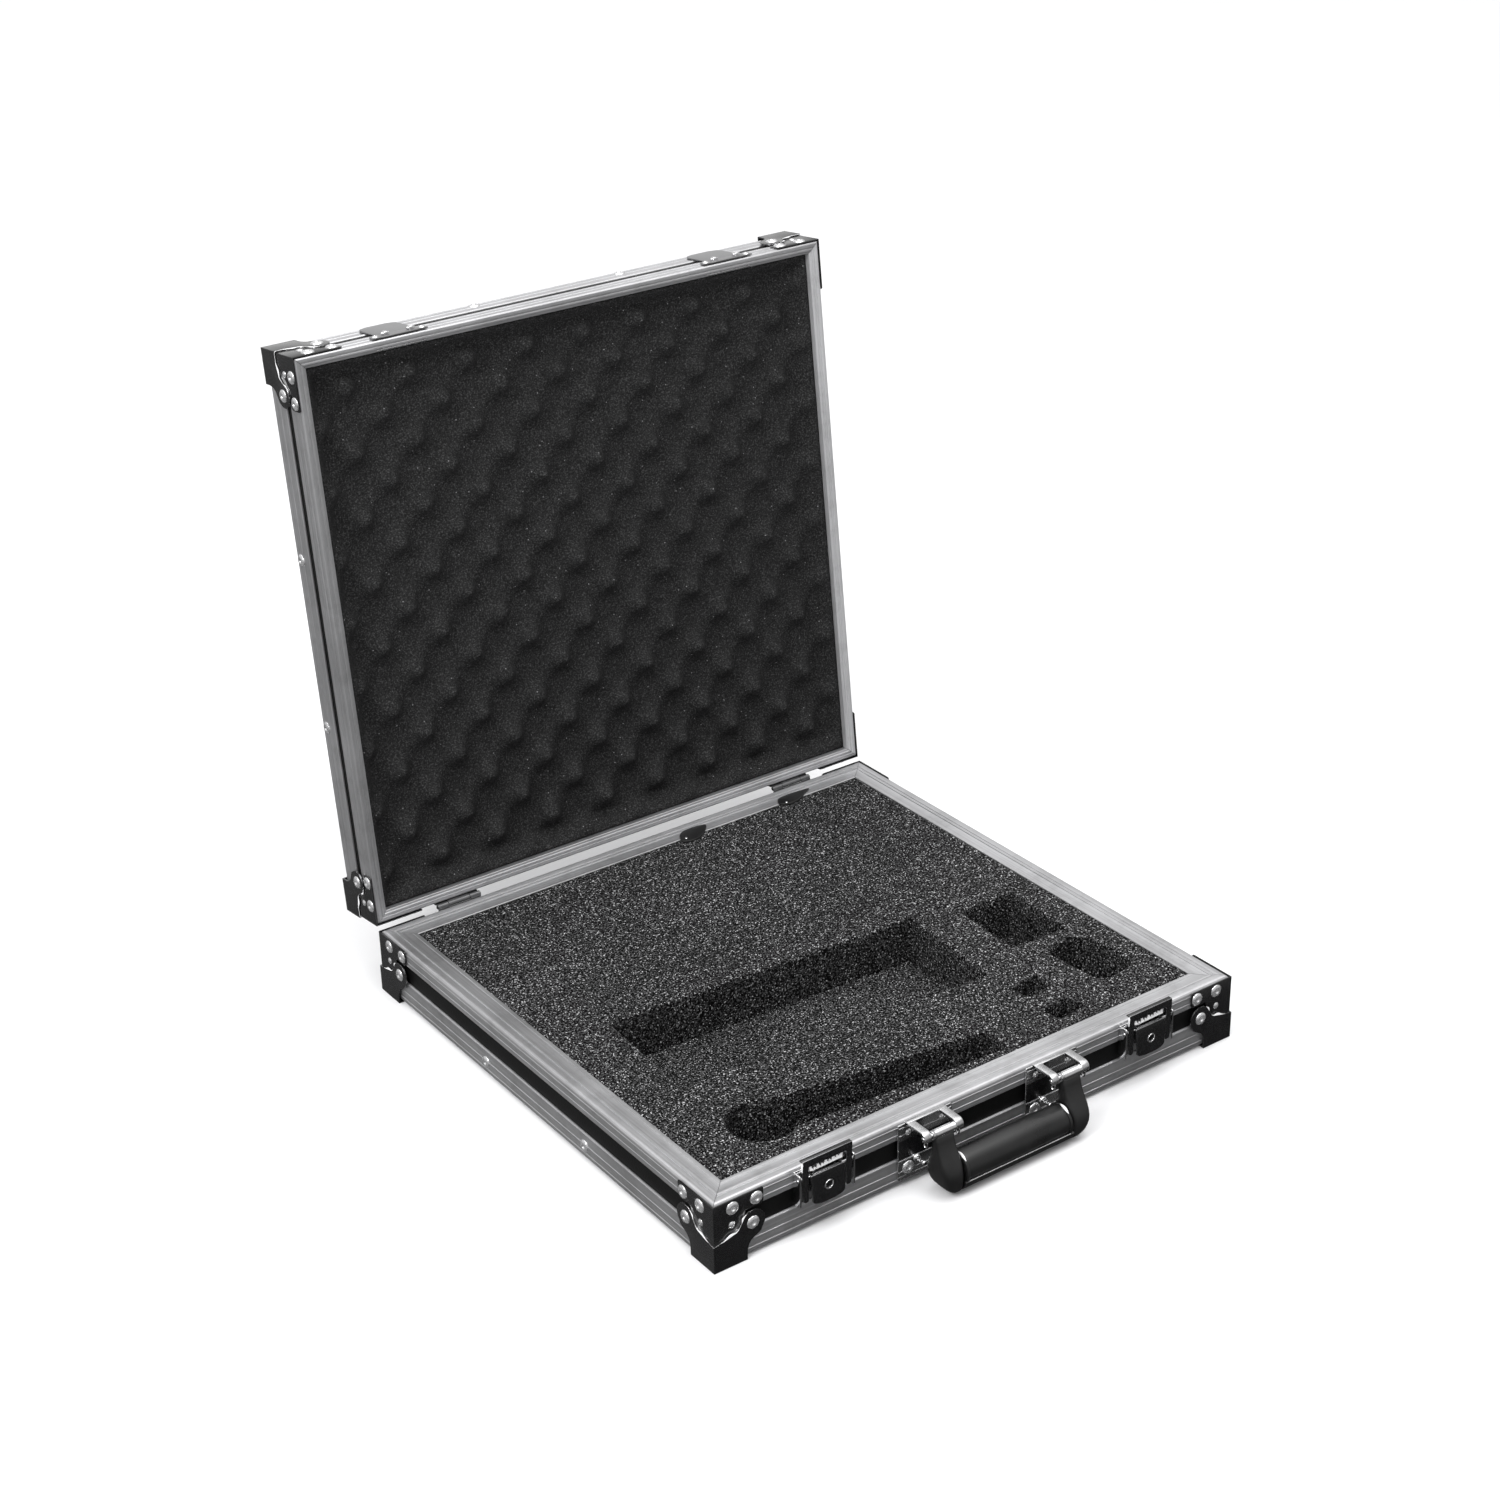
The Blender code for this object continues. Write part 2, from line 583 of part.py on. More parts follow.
# ---- handle -----------------------------------------------------------------------------------
for side, x in (("left", -BRACKET_X), ("right", BRACKET_X)):
    bracket = [
        box(x - 25.0, x + 25.0, out(0.15), out(-1.05), 6.4, 54.4),
        box(x - 18.0, x + 18.0, out(2.6), out(-1.0), 52.6, BASE_H),
        box(x - 18.0, x - 11.5, out(22.5), out(0.0), 52.7, BASE_H - 0.02),
        box(x + 11.5, x + 18.0, out(22.5), out(0.0), 52.7, BASE_H - 0.02),
        box(x - 17.9, x - 11.6, out(22.4), out(17.6), 48.6, 55.0),
        box(x + 11.6, x + 17.9, out(22.4), out(17.6), 48.6, 55.0),
        rod((x - 16.5, out(HANDLE_OUT), HANDLE_Z), (x + 16.5, out(HANDLE_OUT), HANDLE_Z), 1.9, 12),
    ]
    part(f"handle_bracket_{side}", fuse("bracket", bracket), material(CHROME))

    inner = -1 if x > 0 else 1          # towards the middle of the handle
    sole = x - inner * 9.6              # outermost edge of the leg
    leg_face = [
        (x - inner * 8.6, 49.0), (x - inner * 8.6, 36.0), (sole, 26.0), (sole, 18.0),
        (x - inner * 6.5, 8.6), (x + inner * 0.5, 3.0), (x + inner * 7.5, 1.4), (x + inner * 9.0, 1.4),
        (x + inner * 9.0, 31.0), (x + inner * 8.6, 37.0), (x + inner * 8.6, 49.0),
    ]
    waist = [
        (out(16.2), 49.4), (out(16.2), 36.0), (out(12.6), 28.0), (out(10.6), 18.0), (out(13.0), 6.0), (out(18.0), 1.2),
        (out(30.0), 1.2), (out(35.4), 6.0), (out(37.6), 16.0), (out(35.0), 27.0), (out(26.4), 40.0), (out(23.8), 49.4),
    ]
    silhouette = plate_yz("leg", [waist], x - 12.0, x + 12.0)
    leg = plate_xz("leg", [leg_face], out(45.0), out(5.0))
    keep = bpy.data.objects.new("keep", silhouette)
    body = bpy.data.objects.new("body", leg)
    for obj in (keep, body):
        scene.collection.objects.link(obj)
    mod = body.modifiers.new("both", "BOOLEAN")
    mod.operation = "INTERSECT"
    mod.solver = "EXACT"
    mod.object = keep
    graph = bpy.context.evaluated_depsgraph_get()
    graph.update()
    leg = bpy.data.meshes.new_from_object(body.evaluated_get(graph))
    for obj in (keep, body):
        bpy.data.objects.remove(obj, do_unlink=True)
    sleeve = rod((x - 10.6, out(HANDLE_OUT), HANDLE_Z), (x + 10.6, out(HANDLE_OUT), HANDLE_Z), 3.7, 16)
    bore = rod((x - 20, out(HANDLE_OUT), HANDLE_Z), (x + 20, out(HANDLE_OUT), HANDLE_Z), 2.25, 12)
    part(f"handle_leg_{side}", fuse("leg", [leg, sleeve], [bore]), material(MOULDED), handle_axis)

part(
    "handle_grip",
    rod((-GRIP_HALF, out(GRIP_OUT), GRIP_Z), (GRIP_HALF, out(GRIP_OUT), GRIP_Z), GRIP_R, 20),
    material(MOULDED),
    handle_axis,
)

# ---- lid swung back to where its stop holds it ------------------------------------------------
lid_axis.rotation_euler = (-math.radians(OPEN_ANGLE), 0.0, 0.0)
bpy.context.view_layer.update()
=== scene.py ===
"""Looks of the open aluminium attache case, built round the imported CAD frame.

Sizes are millimetres until a mesh is made. The lid's pieces are modelled shut, in the same frame as
the base, and then swung back about the hinge pin to where the CAD lid stands.
"""

import json
import math

import bmesh
import bpy
from mathutils import Matrix, Vector, noise
from mathutils.geometry import delaunay_2d_cdt

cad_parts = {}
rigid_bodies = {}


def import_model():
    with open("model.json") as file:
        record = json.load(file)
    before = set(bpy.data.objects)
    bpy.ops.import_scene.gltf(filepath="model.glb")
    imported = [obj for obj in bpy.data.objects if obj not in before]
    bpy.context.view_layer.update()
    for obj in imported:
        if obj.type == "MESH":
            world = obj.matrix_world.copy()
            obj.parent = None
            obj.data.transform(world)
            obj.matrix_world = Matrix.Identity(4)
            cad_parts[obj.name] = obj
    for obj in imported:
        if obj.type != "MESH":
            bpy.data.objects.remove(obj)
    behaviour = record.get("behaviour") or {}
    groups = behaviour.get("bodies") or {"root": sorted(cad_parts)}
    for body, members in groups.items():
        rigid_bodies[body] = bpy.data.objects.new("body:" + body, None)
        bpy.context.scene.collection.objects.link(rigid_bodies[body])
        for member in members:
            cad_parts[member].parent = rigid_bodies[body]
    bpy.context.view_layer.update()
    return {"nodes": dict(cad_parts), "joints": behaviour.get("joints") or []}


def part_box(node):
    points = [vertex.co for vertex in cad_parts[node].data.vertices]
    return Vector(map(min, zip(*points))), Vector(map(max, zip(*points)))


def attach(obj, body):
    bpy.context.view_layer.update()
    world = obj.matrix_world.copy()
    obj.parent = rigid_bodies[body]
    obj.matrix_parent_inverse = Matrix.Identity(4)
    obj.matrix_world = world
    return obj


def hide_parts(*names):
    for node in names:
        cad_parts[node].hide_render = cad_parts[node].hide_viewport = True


for old in list(bpy.data.objects):
    bpy.data.objects.remove(old, do_unlink=True)

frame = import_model()

MM = 0.001
BOARD_IN = 3.4
_low, _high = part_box("base_bottom_panel")
WIDTH = (_high.x - _low.x) / MM + 2 * BOARD_IN
DEPTH = (_high.y - _low.y) / MM + 2 * BOARD_IN
BASE_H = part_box("base_lip_front")[1].z / MM
LID_H = 51.0
LID_TOP = BASE_H + LID_H
FRONT, BACK = -DEPTH / 2, DEPTH / 2
JOINTS = {joint["name"]: joint for joint in frame["joints"]}
PIN = Vector(JOINTS["lid_hinge"]["pos_m"]) / MM
OPEN = math.radians(JOINTS["lid_hinge"]["range_deg"][1])
LID_STANDS = (
    Matrix.Translation(PIN * MM) @ Matrix.Rotation(-OPEN, 4, "X") @ Matrix.Translation(-PIN * MM)
)
HINGE_X = abs(sum(v.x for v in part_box("hinge_pin_left")) / 2) / MM
LATCH_X = abs(JOINTS["lever_left_swing"]["pos_m"][0]) / MM
BRACKET_X = abs(sum(v.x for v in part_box("handle_bracket_left")) / 2) / MM
HANDLE_OUT = FRONT - JOINTS["handle_swing"]["pos_m"][1] / MM
HANDLE_Z = JOINTS["handle_swing"]["pos_m"][2] / MM


def out(q):
    """World y (mm) of a point q mm in front of the front face."""
    return FRONT - q


# ---- finishes --------------------------------------------------------------------------------
class Finish:
    """A node material with short calls for its nodes."""

    def __init__(self, name, colour, rough, metal, **sockets):
        self.mat = bpy.data.materials.new(name)
        self.mat.use_nodes = True
        self.tree = self.mat.node_tree
        self.shader = next(n for n in self.tree.nodes if n.type == "BSDF_PRINCIPLED")
        self.shader.inputs["Base Color"].default_value = (*colour, 1.0)
        self.shader.inputs["Roughness"].default_value = rough
        self.shader.inputs["Metallic"].default_value = metal
        for key, value in sockets.items():
            self.shader.inputs[key.replace("_", " ")].default_value = value
        self.place = self.add("ShaderNodeTexCoord").outputs["Object"]
        self.mat.diffuse_color = (*colour, 1.0)

    def add(self, kind, values=None, **settings):
        made = self.tree.nodes.new(kind)
        for key, value in settings.items():
            setattr(made, key, value)
        for key, value in (values or {}).items():
            if isinstance(value, bpy.types.NodeSocket):
                self.tree.links.new(value, made.inputs[key])
            else:
                made.inputs[key].default_value = value
        return made

    def stretched(self, x, y, z):
        return self.add("ShaderNodeMapping", {"Vector": self.place, "Scale": (x, y, z)}).outputs[0]

    def noise(self, where, scale, detail=2.0, rough=0.5):
        return self.add(
            "ShaderNodeTexNoise",
            {"Vector": where, "Scale": scale, "Detail": detail, "Roughness": rough},
        ).outputs["Fac"]

    def cells(self, where, scale, feature="F1", output="Distance"):
        return self.add(
            "ShaderNodeTexVoronoi", {"Vector": where, "Scale": scale}, feature=feature
        ).outputs[output]

    def ramp(self, value, stops):
        made = self.add("ShaderNodeValToRGB", {"Fac": value})
        ramp = made.color_ramp
        while len(ramp.elements) < len(stops):
            ramp.elements.new(0.5)
        for element, (at, colour) in zip(ramp.elements, stops):
            element.position = at
            element.color = (*colour, 1.0) if len(colour) == 3 else colour
        return made.outputs["Color"]

    def grey(self, value, *stops):
        return self.ramp(value, [(at, (g, g, g * 1.01)) for at, g in stops])

    def span(self, value, low, high, to_low, to_high):
        return self.add(
            "ShaderNodeMapRange",
            {"Value": value, "From Min": low, "From Max": high, "To Min": to_low, "To Max": to_high},
        ).outputs[0]

    def maths(self, operation, a, b):
        made = self.add("ShaderNodeMath", operation=operation)
        for socket, value in zip(made.inputs, (a, b)):
            if isinstance(value, bpy.types.NodeSocket):
                self.tree.links.new(value, socket)
            else:
                socket.default_value = value
        return made.outputs[0]

    def blend(self, kind, factor, a, b):
        made = self.add("ShaderNodeMix", data_type="RGBA", blend_type=kind)
        for socket, value in zip((made.inputs[0], made.inputs[6], made.inputs[7]), (factor, a, b)):
            if isinstance(value, bpy.types.NodeSocket):
                self.tree.links.new(value, socket)
            else:
                socket.default_value = value
        return made.outputs[2]

    def drive(self, socket, value):
        self.tree.links.new(value, self.shader.inputs[socket])

    def bump(self, height, strength, distance, under=None):
        values = {"Height": height, "Strength": strength, "Distance": distance}
        if under is not None:
            values["Normal"] = under
        made = self.add("ShaderNodeBump", values)
        self.drive("Normal", made.outputs[0])
        return made.outputs[0]


def aluminium(name, along, tilt=0.0, metal=0.88):
    """Satin mill finish: draw lines run along the extrusion, with faint dull patches and handling marks.

    tilt turns the pattern back for rails modelled shut and swung open with the lid."""
    made = Finish(name, (0.72, 0.72, 0.73), 0.42, metal)
    if tilt:
        made.place = made.add(
            "ShaderNodeVectorRotate", {"Vector": made.place, "Angle": tilt}, rotation_type="X_AXIS"
        ).outputs[0]
    fine = [2600.0, 2600.0, 2600.0]
    fine[along] = 9.0
    coarse = [520.0, 520.0, 520.0]
    coarse[along] = 3.0
    lines = made.noise(made.stretched(*fine), 1.0, 3.0, 0.6)
    bands = made.noise(made.stretched(*coarse), 1.0, 2.0, 0.5)
    patches = made.noise(made.place, 14.0, 4.0, 0.6)
    tone = made.maths("ADD", made.maths("MULTIPLY", lines, 0.55), made.maths("MULTIPLY", bands, 0.45))
    smudges = made.noise(made.place, 46.0, 5.0, 0.7)
    colour = made.grey(tone, (0.30, 0.47), (0.50, 0.60), (0.70, 0.70))
    worn = made.blend("MULTIPLY", 0.55, colour, made.grey(patches, (0.32, 0.78), (0.62, 1.0)))
    dulled = made.blend("MULTIPLY", 0.40, worn, made.grey(smudges, (0.36, 0.72), (0.50, 1.0)))
    made.drive("Base Color", dulled)
    worn = made.maths("ADD", made.maths("MULTIPLY", patches, 0.45), made.maths("MULTIPLY", lines, 0.55))
    made.drive("Roughness", made.span(worn, 0.3, 0.7, 0.34, 0.52))
    made.bump(lines, 0.20, 0.00008)
    return made.mat


def plated(name, colour, rough, metal, spots=0.0, **sockets):
    """Bright or black plating: slightly uneven polish, faint swirl marks and dust."""
    made = Finish(name, colour, rough, metal, **sockets)
    clouds = made.noise(made.place, 90.0, 3.0, 0.55)
    fine = made.noise(made.place, 900.0, 2.0, 0.5)
    mixed = made.maths("ADD", made.maths("MULTIPLY", clouds, 0.6), made.maths("MULTIPLY", fine, 0.4))
    made.drive("Roughness", made.span(mixed, 0.3, 0.7, rough * 0.75, rough * 1.35))
    tone = [c * 0.82 for c in colour]
    lift = [min(1.0, c * 1.12 + spots) for c in colour]
    made.drive("Base Color", made.ramp(mixed, [(0.34, tone), (0.52, colour), (0.70, lift)]))
    made.bump(clouds, 0.10, 0.0002)
    return made.mat


def laminate():
    """Black laminate with a fine pebbled face."""
    made = Finish("black_laminate_face", (0.0040, 0.0040, 0.0043), 0.40, 0.0)
    made.shader.inputs["Specular IOR Level"].default_value = 0.17
    pebbles = made.cells(made.place, 950.0, "SMOOTH_F1")
    haze = made.noise(made.place, 22.0, 4.0, 0.6)
    made.drive("Base Color", made.grey(haze, (0.35, 0.0035), (0.65, 0.0065)))
    made.drive("Roughness", made.span(haze, 0.3, 0.7, 0.33, 0.47))
    made.bump(pebbles, 0.35, 0.00025)
    return made.mat


def cell_foam():
    """Open-cell foam: dark pores, and bright broken cell walls about a millimetre across whose brightness is painted
    glints.
    """
    made = Finish("charcoal_cell_foam", (0.06, 0.06, 0.062), 0.92, 0.0)
    pores = made.noise(made.place, 620.0, 1.5, 0.6)
    glint_noise = made.noise(made.place, 760.0, 1.0, 0.5)
    drift = made.noise(made.place, 9.0, 3.0, 0.5)
    ground = made.grey(pores, (0.42, 0.0006), (0.49, 0.0054), (0.55, 0.030), (0.62, 0.082))
    # painted glints: bright flecks stand in for light catching the cell walls
    painted_glints = made.grey(glint_noise, (0.605, 0.0), (0.66, 0.11), (0.72, 0.60))
    whole = made.blend("ADD", 1.0, ground, painted_glints)
    made.drive("Base Color", made.blend("MULTIPLY", 0.6, whole, made.grey(drift, (0.35, 0.75), (0.65, 1.1))))
    made.shader.inputs["Specular IOR Level"].default_value = 0.08
    made.bump(pores, 0.9, 0.0009)
    return made.mat


def egg_foam():
    """Convoluted foam: close, dark cells, with painted glints on a few bright broken ones."""
    made = Finish("charcoal_egg_foam", (0.022, 0.022, 0.023), 0.95, 0.0)
    pores = made.noise(made.place, 820.0, 2.0, 0.6)
    picked = made.cells(made.place, 420.0, "F1", "Color")
    near = made.cells(made.place, 420.0, "F1", "Distance")
    # painted glints: a few cells picked at random are painted bright, as if catching light
    chosen = made.maths("GREATER_THAN", made.add("ShaderNodeSeparateColor", {"Color": picked}).outputs[0], 0.978)
    close = made.maths("LESS_THAN", near, 0.22)
    glint_mask = made.maths("MULTIPLY", chosen, close)
    ground = made.grey(pores, (0.36, 0.0105), (0.50, 0.0190), (0.60, 0.034), (0.68, 0.060))
    made.drive("Base Color", made.blend("MIX", glint_mask, ground, (0.20, 0.20, 0.205, 1.0)))
    made.shader.inputs["Specular IOR Level"].default_value = 0.08
    made.bump(pores, 0.7, 0.0006)
    return made.mat


def moulded(name, shine=0.36, grain=0.22):
    """Black moulded plastic with a light grain and rubbed, shinier patches."""
    made = Finish(name, (0.010, 0.010, 0.0105), shine, 0.0)
    leather = made.cells(made.place, 1300.0, "SMOOTH_F1")
    rubbed = made.noise(made.place, 30.0, 3.0, 0.5)
    made.drive("Base Color", made.grey(rubbed, (0.35, 0.0075), (0.65, 0.0140)))
    made.drive("Roughness", made.span(rubbed, 0.3, 0.7, shine * 0.8, shine * 1.25))
    made.bump(leather, grain, 0.00018)
    return made.mat


ALU_X = aluminium("satin_aluminium_wide", 0)
ALU_Y = aluminium("satin_aluminium_deep", 1)
ALU_Y_LID = aluminium("satin_aluminium_deep_lid", 1, OPEN)
# painted light: a less metallic copy of the lid aluminium, so the lid's right rails come out lighter
ALU_Y_LID_RIGHT_LIT = aluminium("satin_aluminium_deep_lid_right_painted_light", 1, OPEN, 0.45)
LAMINATE = laminate()
FOAM = cell_foam()
EGG = egg_foam()
BLACK = plated("black_plated_steel", (0.0055, 0.0055, 0.006), 0.20, 0.0, IOR=2.0)
# rubbed and bright finishes: on the edges of the black parts they are worn plating and also painted highlights
RUBBED_EDGE_HIGHLIGHT = plated("rubbed_edge_and_painted_highlight", (0.30, 0.30, 0.305), 0.26, 1.0)
BRIGHT_CHROME_AND_EDGE_HIGHLIGHT = plated("bright_chrome_and_edge_highlight", (0.90, 0.90, 0.91), 0.13, 1.0)
NICKEL = plated("nickel_rivet", (0.87, 0.87, 0.88), 0.20, 0.84)
CHROME = plated("chrome_plate", (0.86, 0.86, 0.87), 0.085, 1.0)
SATIN_CHROME = plated("satin_chrome", (0.74, 0.74, 0.75), 0.24, 1.0)
ZINC = plated("zinc_steel", (0.42, 0.42, 0.43), 0.30, 1.0)
# near-white, hardly metallic zinc: painted highlights on corner trims, the claw corner and the grip rings, and the
# latch comb
PALE_ZINC_HIGHLIGHT = plated("pale_zinc_painted_highlight", (0.94, 0.94, 0.95), 0.30, 0.12)
HINGE_ZINC = plated("hinge_zinc", (0.16, 0.16, 0.163), 0.42, 0.8)
CATCH_STEEL = plated("catch_steel", (0.30, 0.30, 0.305), 0.36, 0.9)
DARK_STEEL = plated("dark_steel", (0.08, 0.08, 0.082), 0.32, 1.0)
MOULDED = moulded("moulded_black_plastic")
GRIP = moulded("moulded_grip", 0.30, 0.14)


# ---- shapes: every helper returns (points in mm, faces, material slots) -----------------------
def merged(*shapes):
    points, faces, slots = [], [], []
    for shape in shapes:
        start = len(points)
        points += shape[0]
        faces += [[start + i for i in face] for face in shape[1]]
        slots += shape[2]
    return points, faces, slots


def recast(shape, slot):
    return shape[0], shape[1], [slot] * len(shape[1])


def placed(shape, matrix):
    flip = matrix.to_3x3().determinant() < 0
    points = [matrix @ Vector(p) for p in shape[0]]
    faces = [list(reversed(f)) for f in shape[1]] if flip else shape[1]
    return points, faces, shape[2]


def shift(x, y, z):
    return Matrix.Translation((x, y, z))


def read_mesh(mesh):
    points = [v.co.copy() for v in mesh.vertices]
    faces = [list(p.vertices) for p in mesh.polygons]
    slots = [p.material_index for p in mesh.polygons]
    return points, faces, slots


def to_bmesh(shape):
    bm = bmesh.new()
    verts = [bm.verts.new(p) for p in shape[0]]
    for face, slot in zip(shape[1], shape[2]):
        try:
            bm.faces.new([verts[i] for i in face]).material_index = slot
        except ValueError:
            continue
    return bm


def from_bmesh(bm):
    bm.verts.index_update()
    points = [v.co.copy() for v in bm.verts]
    faces = [[v.index for v in f.verts] for f in bm.faces]
    slots = [f.material_index for f in bm.faces]
    bm.free()
    return points, faces, slots


def rounded_box(x0, x1, y0, y1, z0, z1, r=0.3, steps=2):
    bm = bmesh.new()
    size = Matrix.Diagonal((x1 - x0, y1 - y0, z1 - z0, 1.0))
    bmesh.ops.create_cube(bm, size=1.0, matrix=shift((x0 + x1) / 2, (y0 + y1) / 2, (z0 + z1) / 2) @ size)
    r = min(r, 0.45 * min(x1 - x0, y1 - y0, z1 - z0))
    bmesh.ops.bevel(
        bm, geom=list(bm.edges), offset=r, offset_type="OFFSET", segments=steps, profile=0.5, affect="EDGES"
    )
    return from_bmesh(bm)


def plate(loops, low, high, soft=0.3, steps=2, edge_slot=None):
    """A flat outline with any holes, from low to high along z, with every edge rounded."""
    soft = min(soft, 0.45 * (high - low))
    curve = bpy.data.curves.new("plate", "CURVE")
    curve.dimensions = "2D"
    curve.fill_mode = "BOTH"
    curve.extrude = (high - low) / 2 - soft
    curve.bevel_depth = soft
    curve.bevel_resolution = steps
    curve.offset = -soft
    for loop in loops:
        spline = curve.splines.new("POLY")
        spline.points.add(len(loop) - 1)
        for point, (x, y) in zip(spline.points, loop):
            point.co = (x, y, 0.0, 1.0)
        spline.use_cyclic_u = True
    obj = bpy.data.objects.new("plate", curve)
    bpy.context.scene.collection.objects.link(obj)
    graph = bpy.context.evaluated_depsgraph_get()
    mesh = bpy.data.meshes.new_from_object(obj.evaluated_get(graph))
    bpy.data.objects.remove(obj, do_unlink=True)
    bpy.data.curves.remove(curve)
    bm = bmesh.new()
    bm.from_mesh(mesh)
    bpy.data.meshes.remove(mesh)
    bmesh.ops.remove_doubles(bm, verts=bm.verts, dist=1e-4)
    bmesh.ops.recalc_face_normals(bm, faces=bm.faces)
    for face in bm.faces:
        face.material_index = 0
        if edge_slot is not None and abs(face.normal.z) < 0.97:
            face.material_index = edge_slot
    bmesh.ops.translate(bm, verts=bm.verts, vec=(0, 0, (low + high) / 2))
    return from_bmesh(bm)


# outline x -> world X, outline y -> world Z, thickness -> world -Y
STAND_FRONT = Matrix(((1, 0, 0, 0), (0, 0, -1, 0), (0, 1, 0, 0), (0, 0, 0, 1)))
# outline x -> world Y, outline y -> world Z, thickness -> world X
STAND_SIDE = Matrix(((0, 0, 1, 0), (1, 0, 0, 0), (0, 1, 0, 0), (0, 0, 0, 1)))


def front_plate(loops, q0, q1, soft=0.3, steps=2, edge_slot=None):
    """A plate standing in front of the front face, from q0 to q1 mm out."""
    return placed(plate(loops, q0, q1, soft, steps, edge_slot), shift(0, FRONT, 0) @ STAND_FRONT)


def lathe(profile, at, axis, segments=28):
    """profile [(radius, height)] spun about an axis through the point at."""
    turn = Vector(axis).to_track_quat("Z", "Y").to_matrix().to_4x4()
    matrix = Matrix.Translation(Vector(at)) @ turn
    points, faces, rings = [], [], []
    for r, h in profile:
        if r < 1e-6:
            rings.append([len(points)])
            points.append(matrix @ Vector((0, 0, h)))
            continue
        rings.append(list(range(len(points), len(points) + segments)))
        for i in range(segments):
            a = 2 * math.pi * i / segments
            points.append(matrix @ Vector((r * math.cos(a), r * math.sin(a), h)))
    for low, high in zip(rings, rings[1:]):
        for i in range(segments):
            j = (i + 1) % segments
            if len(low) == 1 and len(high) == 1:
                continue
            if len(low) == 1:
                faces.append([low[0], high[j], high[i]])
            elif len(high) == 1:
                faces.append([low[i], low[j], high[0]])
            else:
                faces.append([low[i], low[j], high[j], high[i]])
    if len(rings[0]) > 1:
        faces.append(list(reversed(rings[0])))
    if len(rings[-1]) > 1:
        faces.append(list(rings[-1]))
    return points, faces, [0] * len(faces)


def rod(a, b, radius, ease=0.25, segments=24):
    """A round bar with eased ends."""
    a, b = Vector(a), Vector(b)
    length = (b - a).length
    ease = min(ease, radius * 0.6, length * 0.3)
    profile = [(0, 0), (radius - ease, 0), (radius - ease * 0.3, ease * 0.3), (radius, ease)]
    profile += [(radius, length - ease), (radius - ease * 0.3, length - ease * 0.3), (radius - ease, length), (0, length)]
    return lathe(profile, a, b - a, segments)


def loft(rings, caps=True):
    """Rings with the same number of points, skinned in order."""
    points, faces = [], []
    count = len(rings[0])
    for ring in rings:
        points += [Vector(p) for p in ring]
    for k in range(len(rings) - 1):
        for i in range(count):
            j = (i + 1) % count
            faces.append([k * count + i, k * count + j, (k + 1) * count + j, (k + 1) * count + i])
    if caps:
        faces.append(list(reversed(range(count))))
        faces.append([(len(rings) - 1) * count + i for i in range(count)])
    return points, faces, [0] * len(faces)


def tube(path, radius, segments=10, closed=False, flat=0.0):
    """A wire along a path of points. radius may be one per point, and flat thins it across the corner's walls."""
    path = [Vector(p) for p in path]
    radii = list(radius) if isinstance(radius, (list, tuple)) else [radius] * len(path)
    rings = []
    normal = None
    for i, p in enumerate(path):
        before = path[i - 1] if i or closed else p
        after = path[(i + 1) % len(path)] if i < len(path) - 1 or closed else p
        along = (after - before).normalized()
        if normal is None:
            normal = along.orthogonal().normalized()
        normal = (normal - along * normal.dot(along)).normalized()
        across = along.cross(normal)
        ring = [
            radii[i] * (math.cos(2 * math.pi * k / segments) * normal + math.sin(2 * math.pi * k / segments) * across)
            for k in range(segments)
        ]
        if flat:
            wall = 1 if p.x > p.y + 0.1 else 0
            most = 0.27
            for v in ring:
                v[wall] = max(-most, min(most, v[wall] * flat))
        rings.append([p + v for v in ring])
    if closed:
        shape = loft(rings + [rings[0]], caps=False)
        return shape
    return loft(rings)


def fused(add, cut=()):
    """One body from closed shapes: add joined, cut taken away."""
    scratch = []

    def temp(shape):
        mesh = bpy.data.meshes.new("scratch")
        mesh.from_pydata([tuple(p) for p in shape[0]], [], shape[1])
        mesh.polygons.foreach_set("material_index", shape[2])
        obj = bpy.data.objects.new("scratch", mesh)
        bpy.context.scene.collection.objects.link(obj)
        scratch.append(obj)
        return obj

    body = temp(add[0])
    for operation, shapes in (("UNION", add[1:]), ("DIFFERENCE", cut)):
        for shape in shapes:
            mod = body.modifiers.new(operation.lower(), "BOOLEAN")
            mod.operation = operation
            mod.solver = "EXACT"
            mod.object = temp(shape)
    graph = bpy.context.evaluated_depsgraph_get()
    graph.update()
    mesh = bpy.data.meshes.new_from_object(body.evaluated_get(graph))
    for obj in scratch:
        bpy.data.objects.remove(obj, do_unlink=True)
    bm = bmesh.new()
    bm.from_mesh(mesh)
    bpy.data.meshes.remove(mesh)
    bmesh.ops.remove_doubles(bm, verts=bm.verts, dist=1e-4)
    return bm


def ease_edges(bm, width, steps, choose, limit=28.0):
    """Bevels the sharp edges that choose(edge) picks."""
    picked = [
        e for e in bm.edges
        if len(e.link_faces) == 2 and math.degrees(e.calc_face_angle(0.0)) > limit and choose(e)
    ]
    bmesh.ops.bevel(
        bm, geom=picked, offset=width, offset_type="OFFSET", segments=steps, profile=0.5,
        affect="EDGES", clamp_overlap=True,
    )
    bmesh.ops.remove_doubles(bm, verts=bm.verts, dist=1e-5)


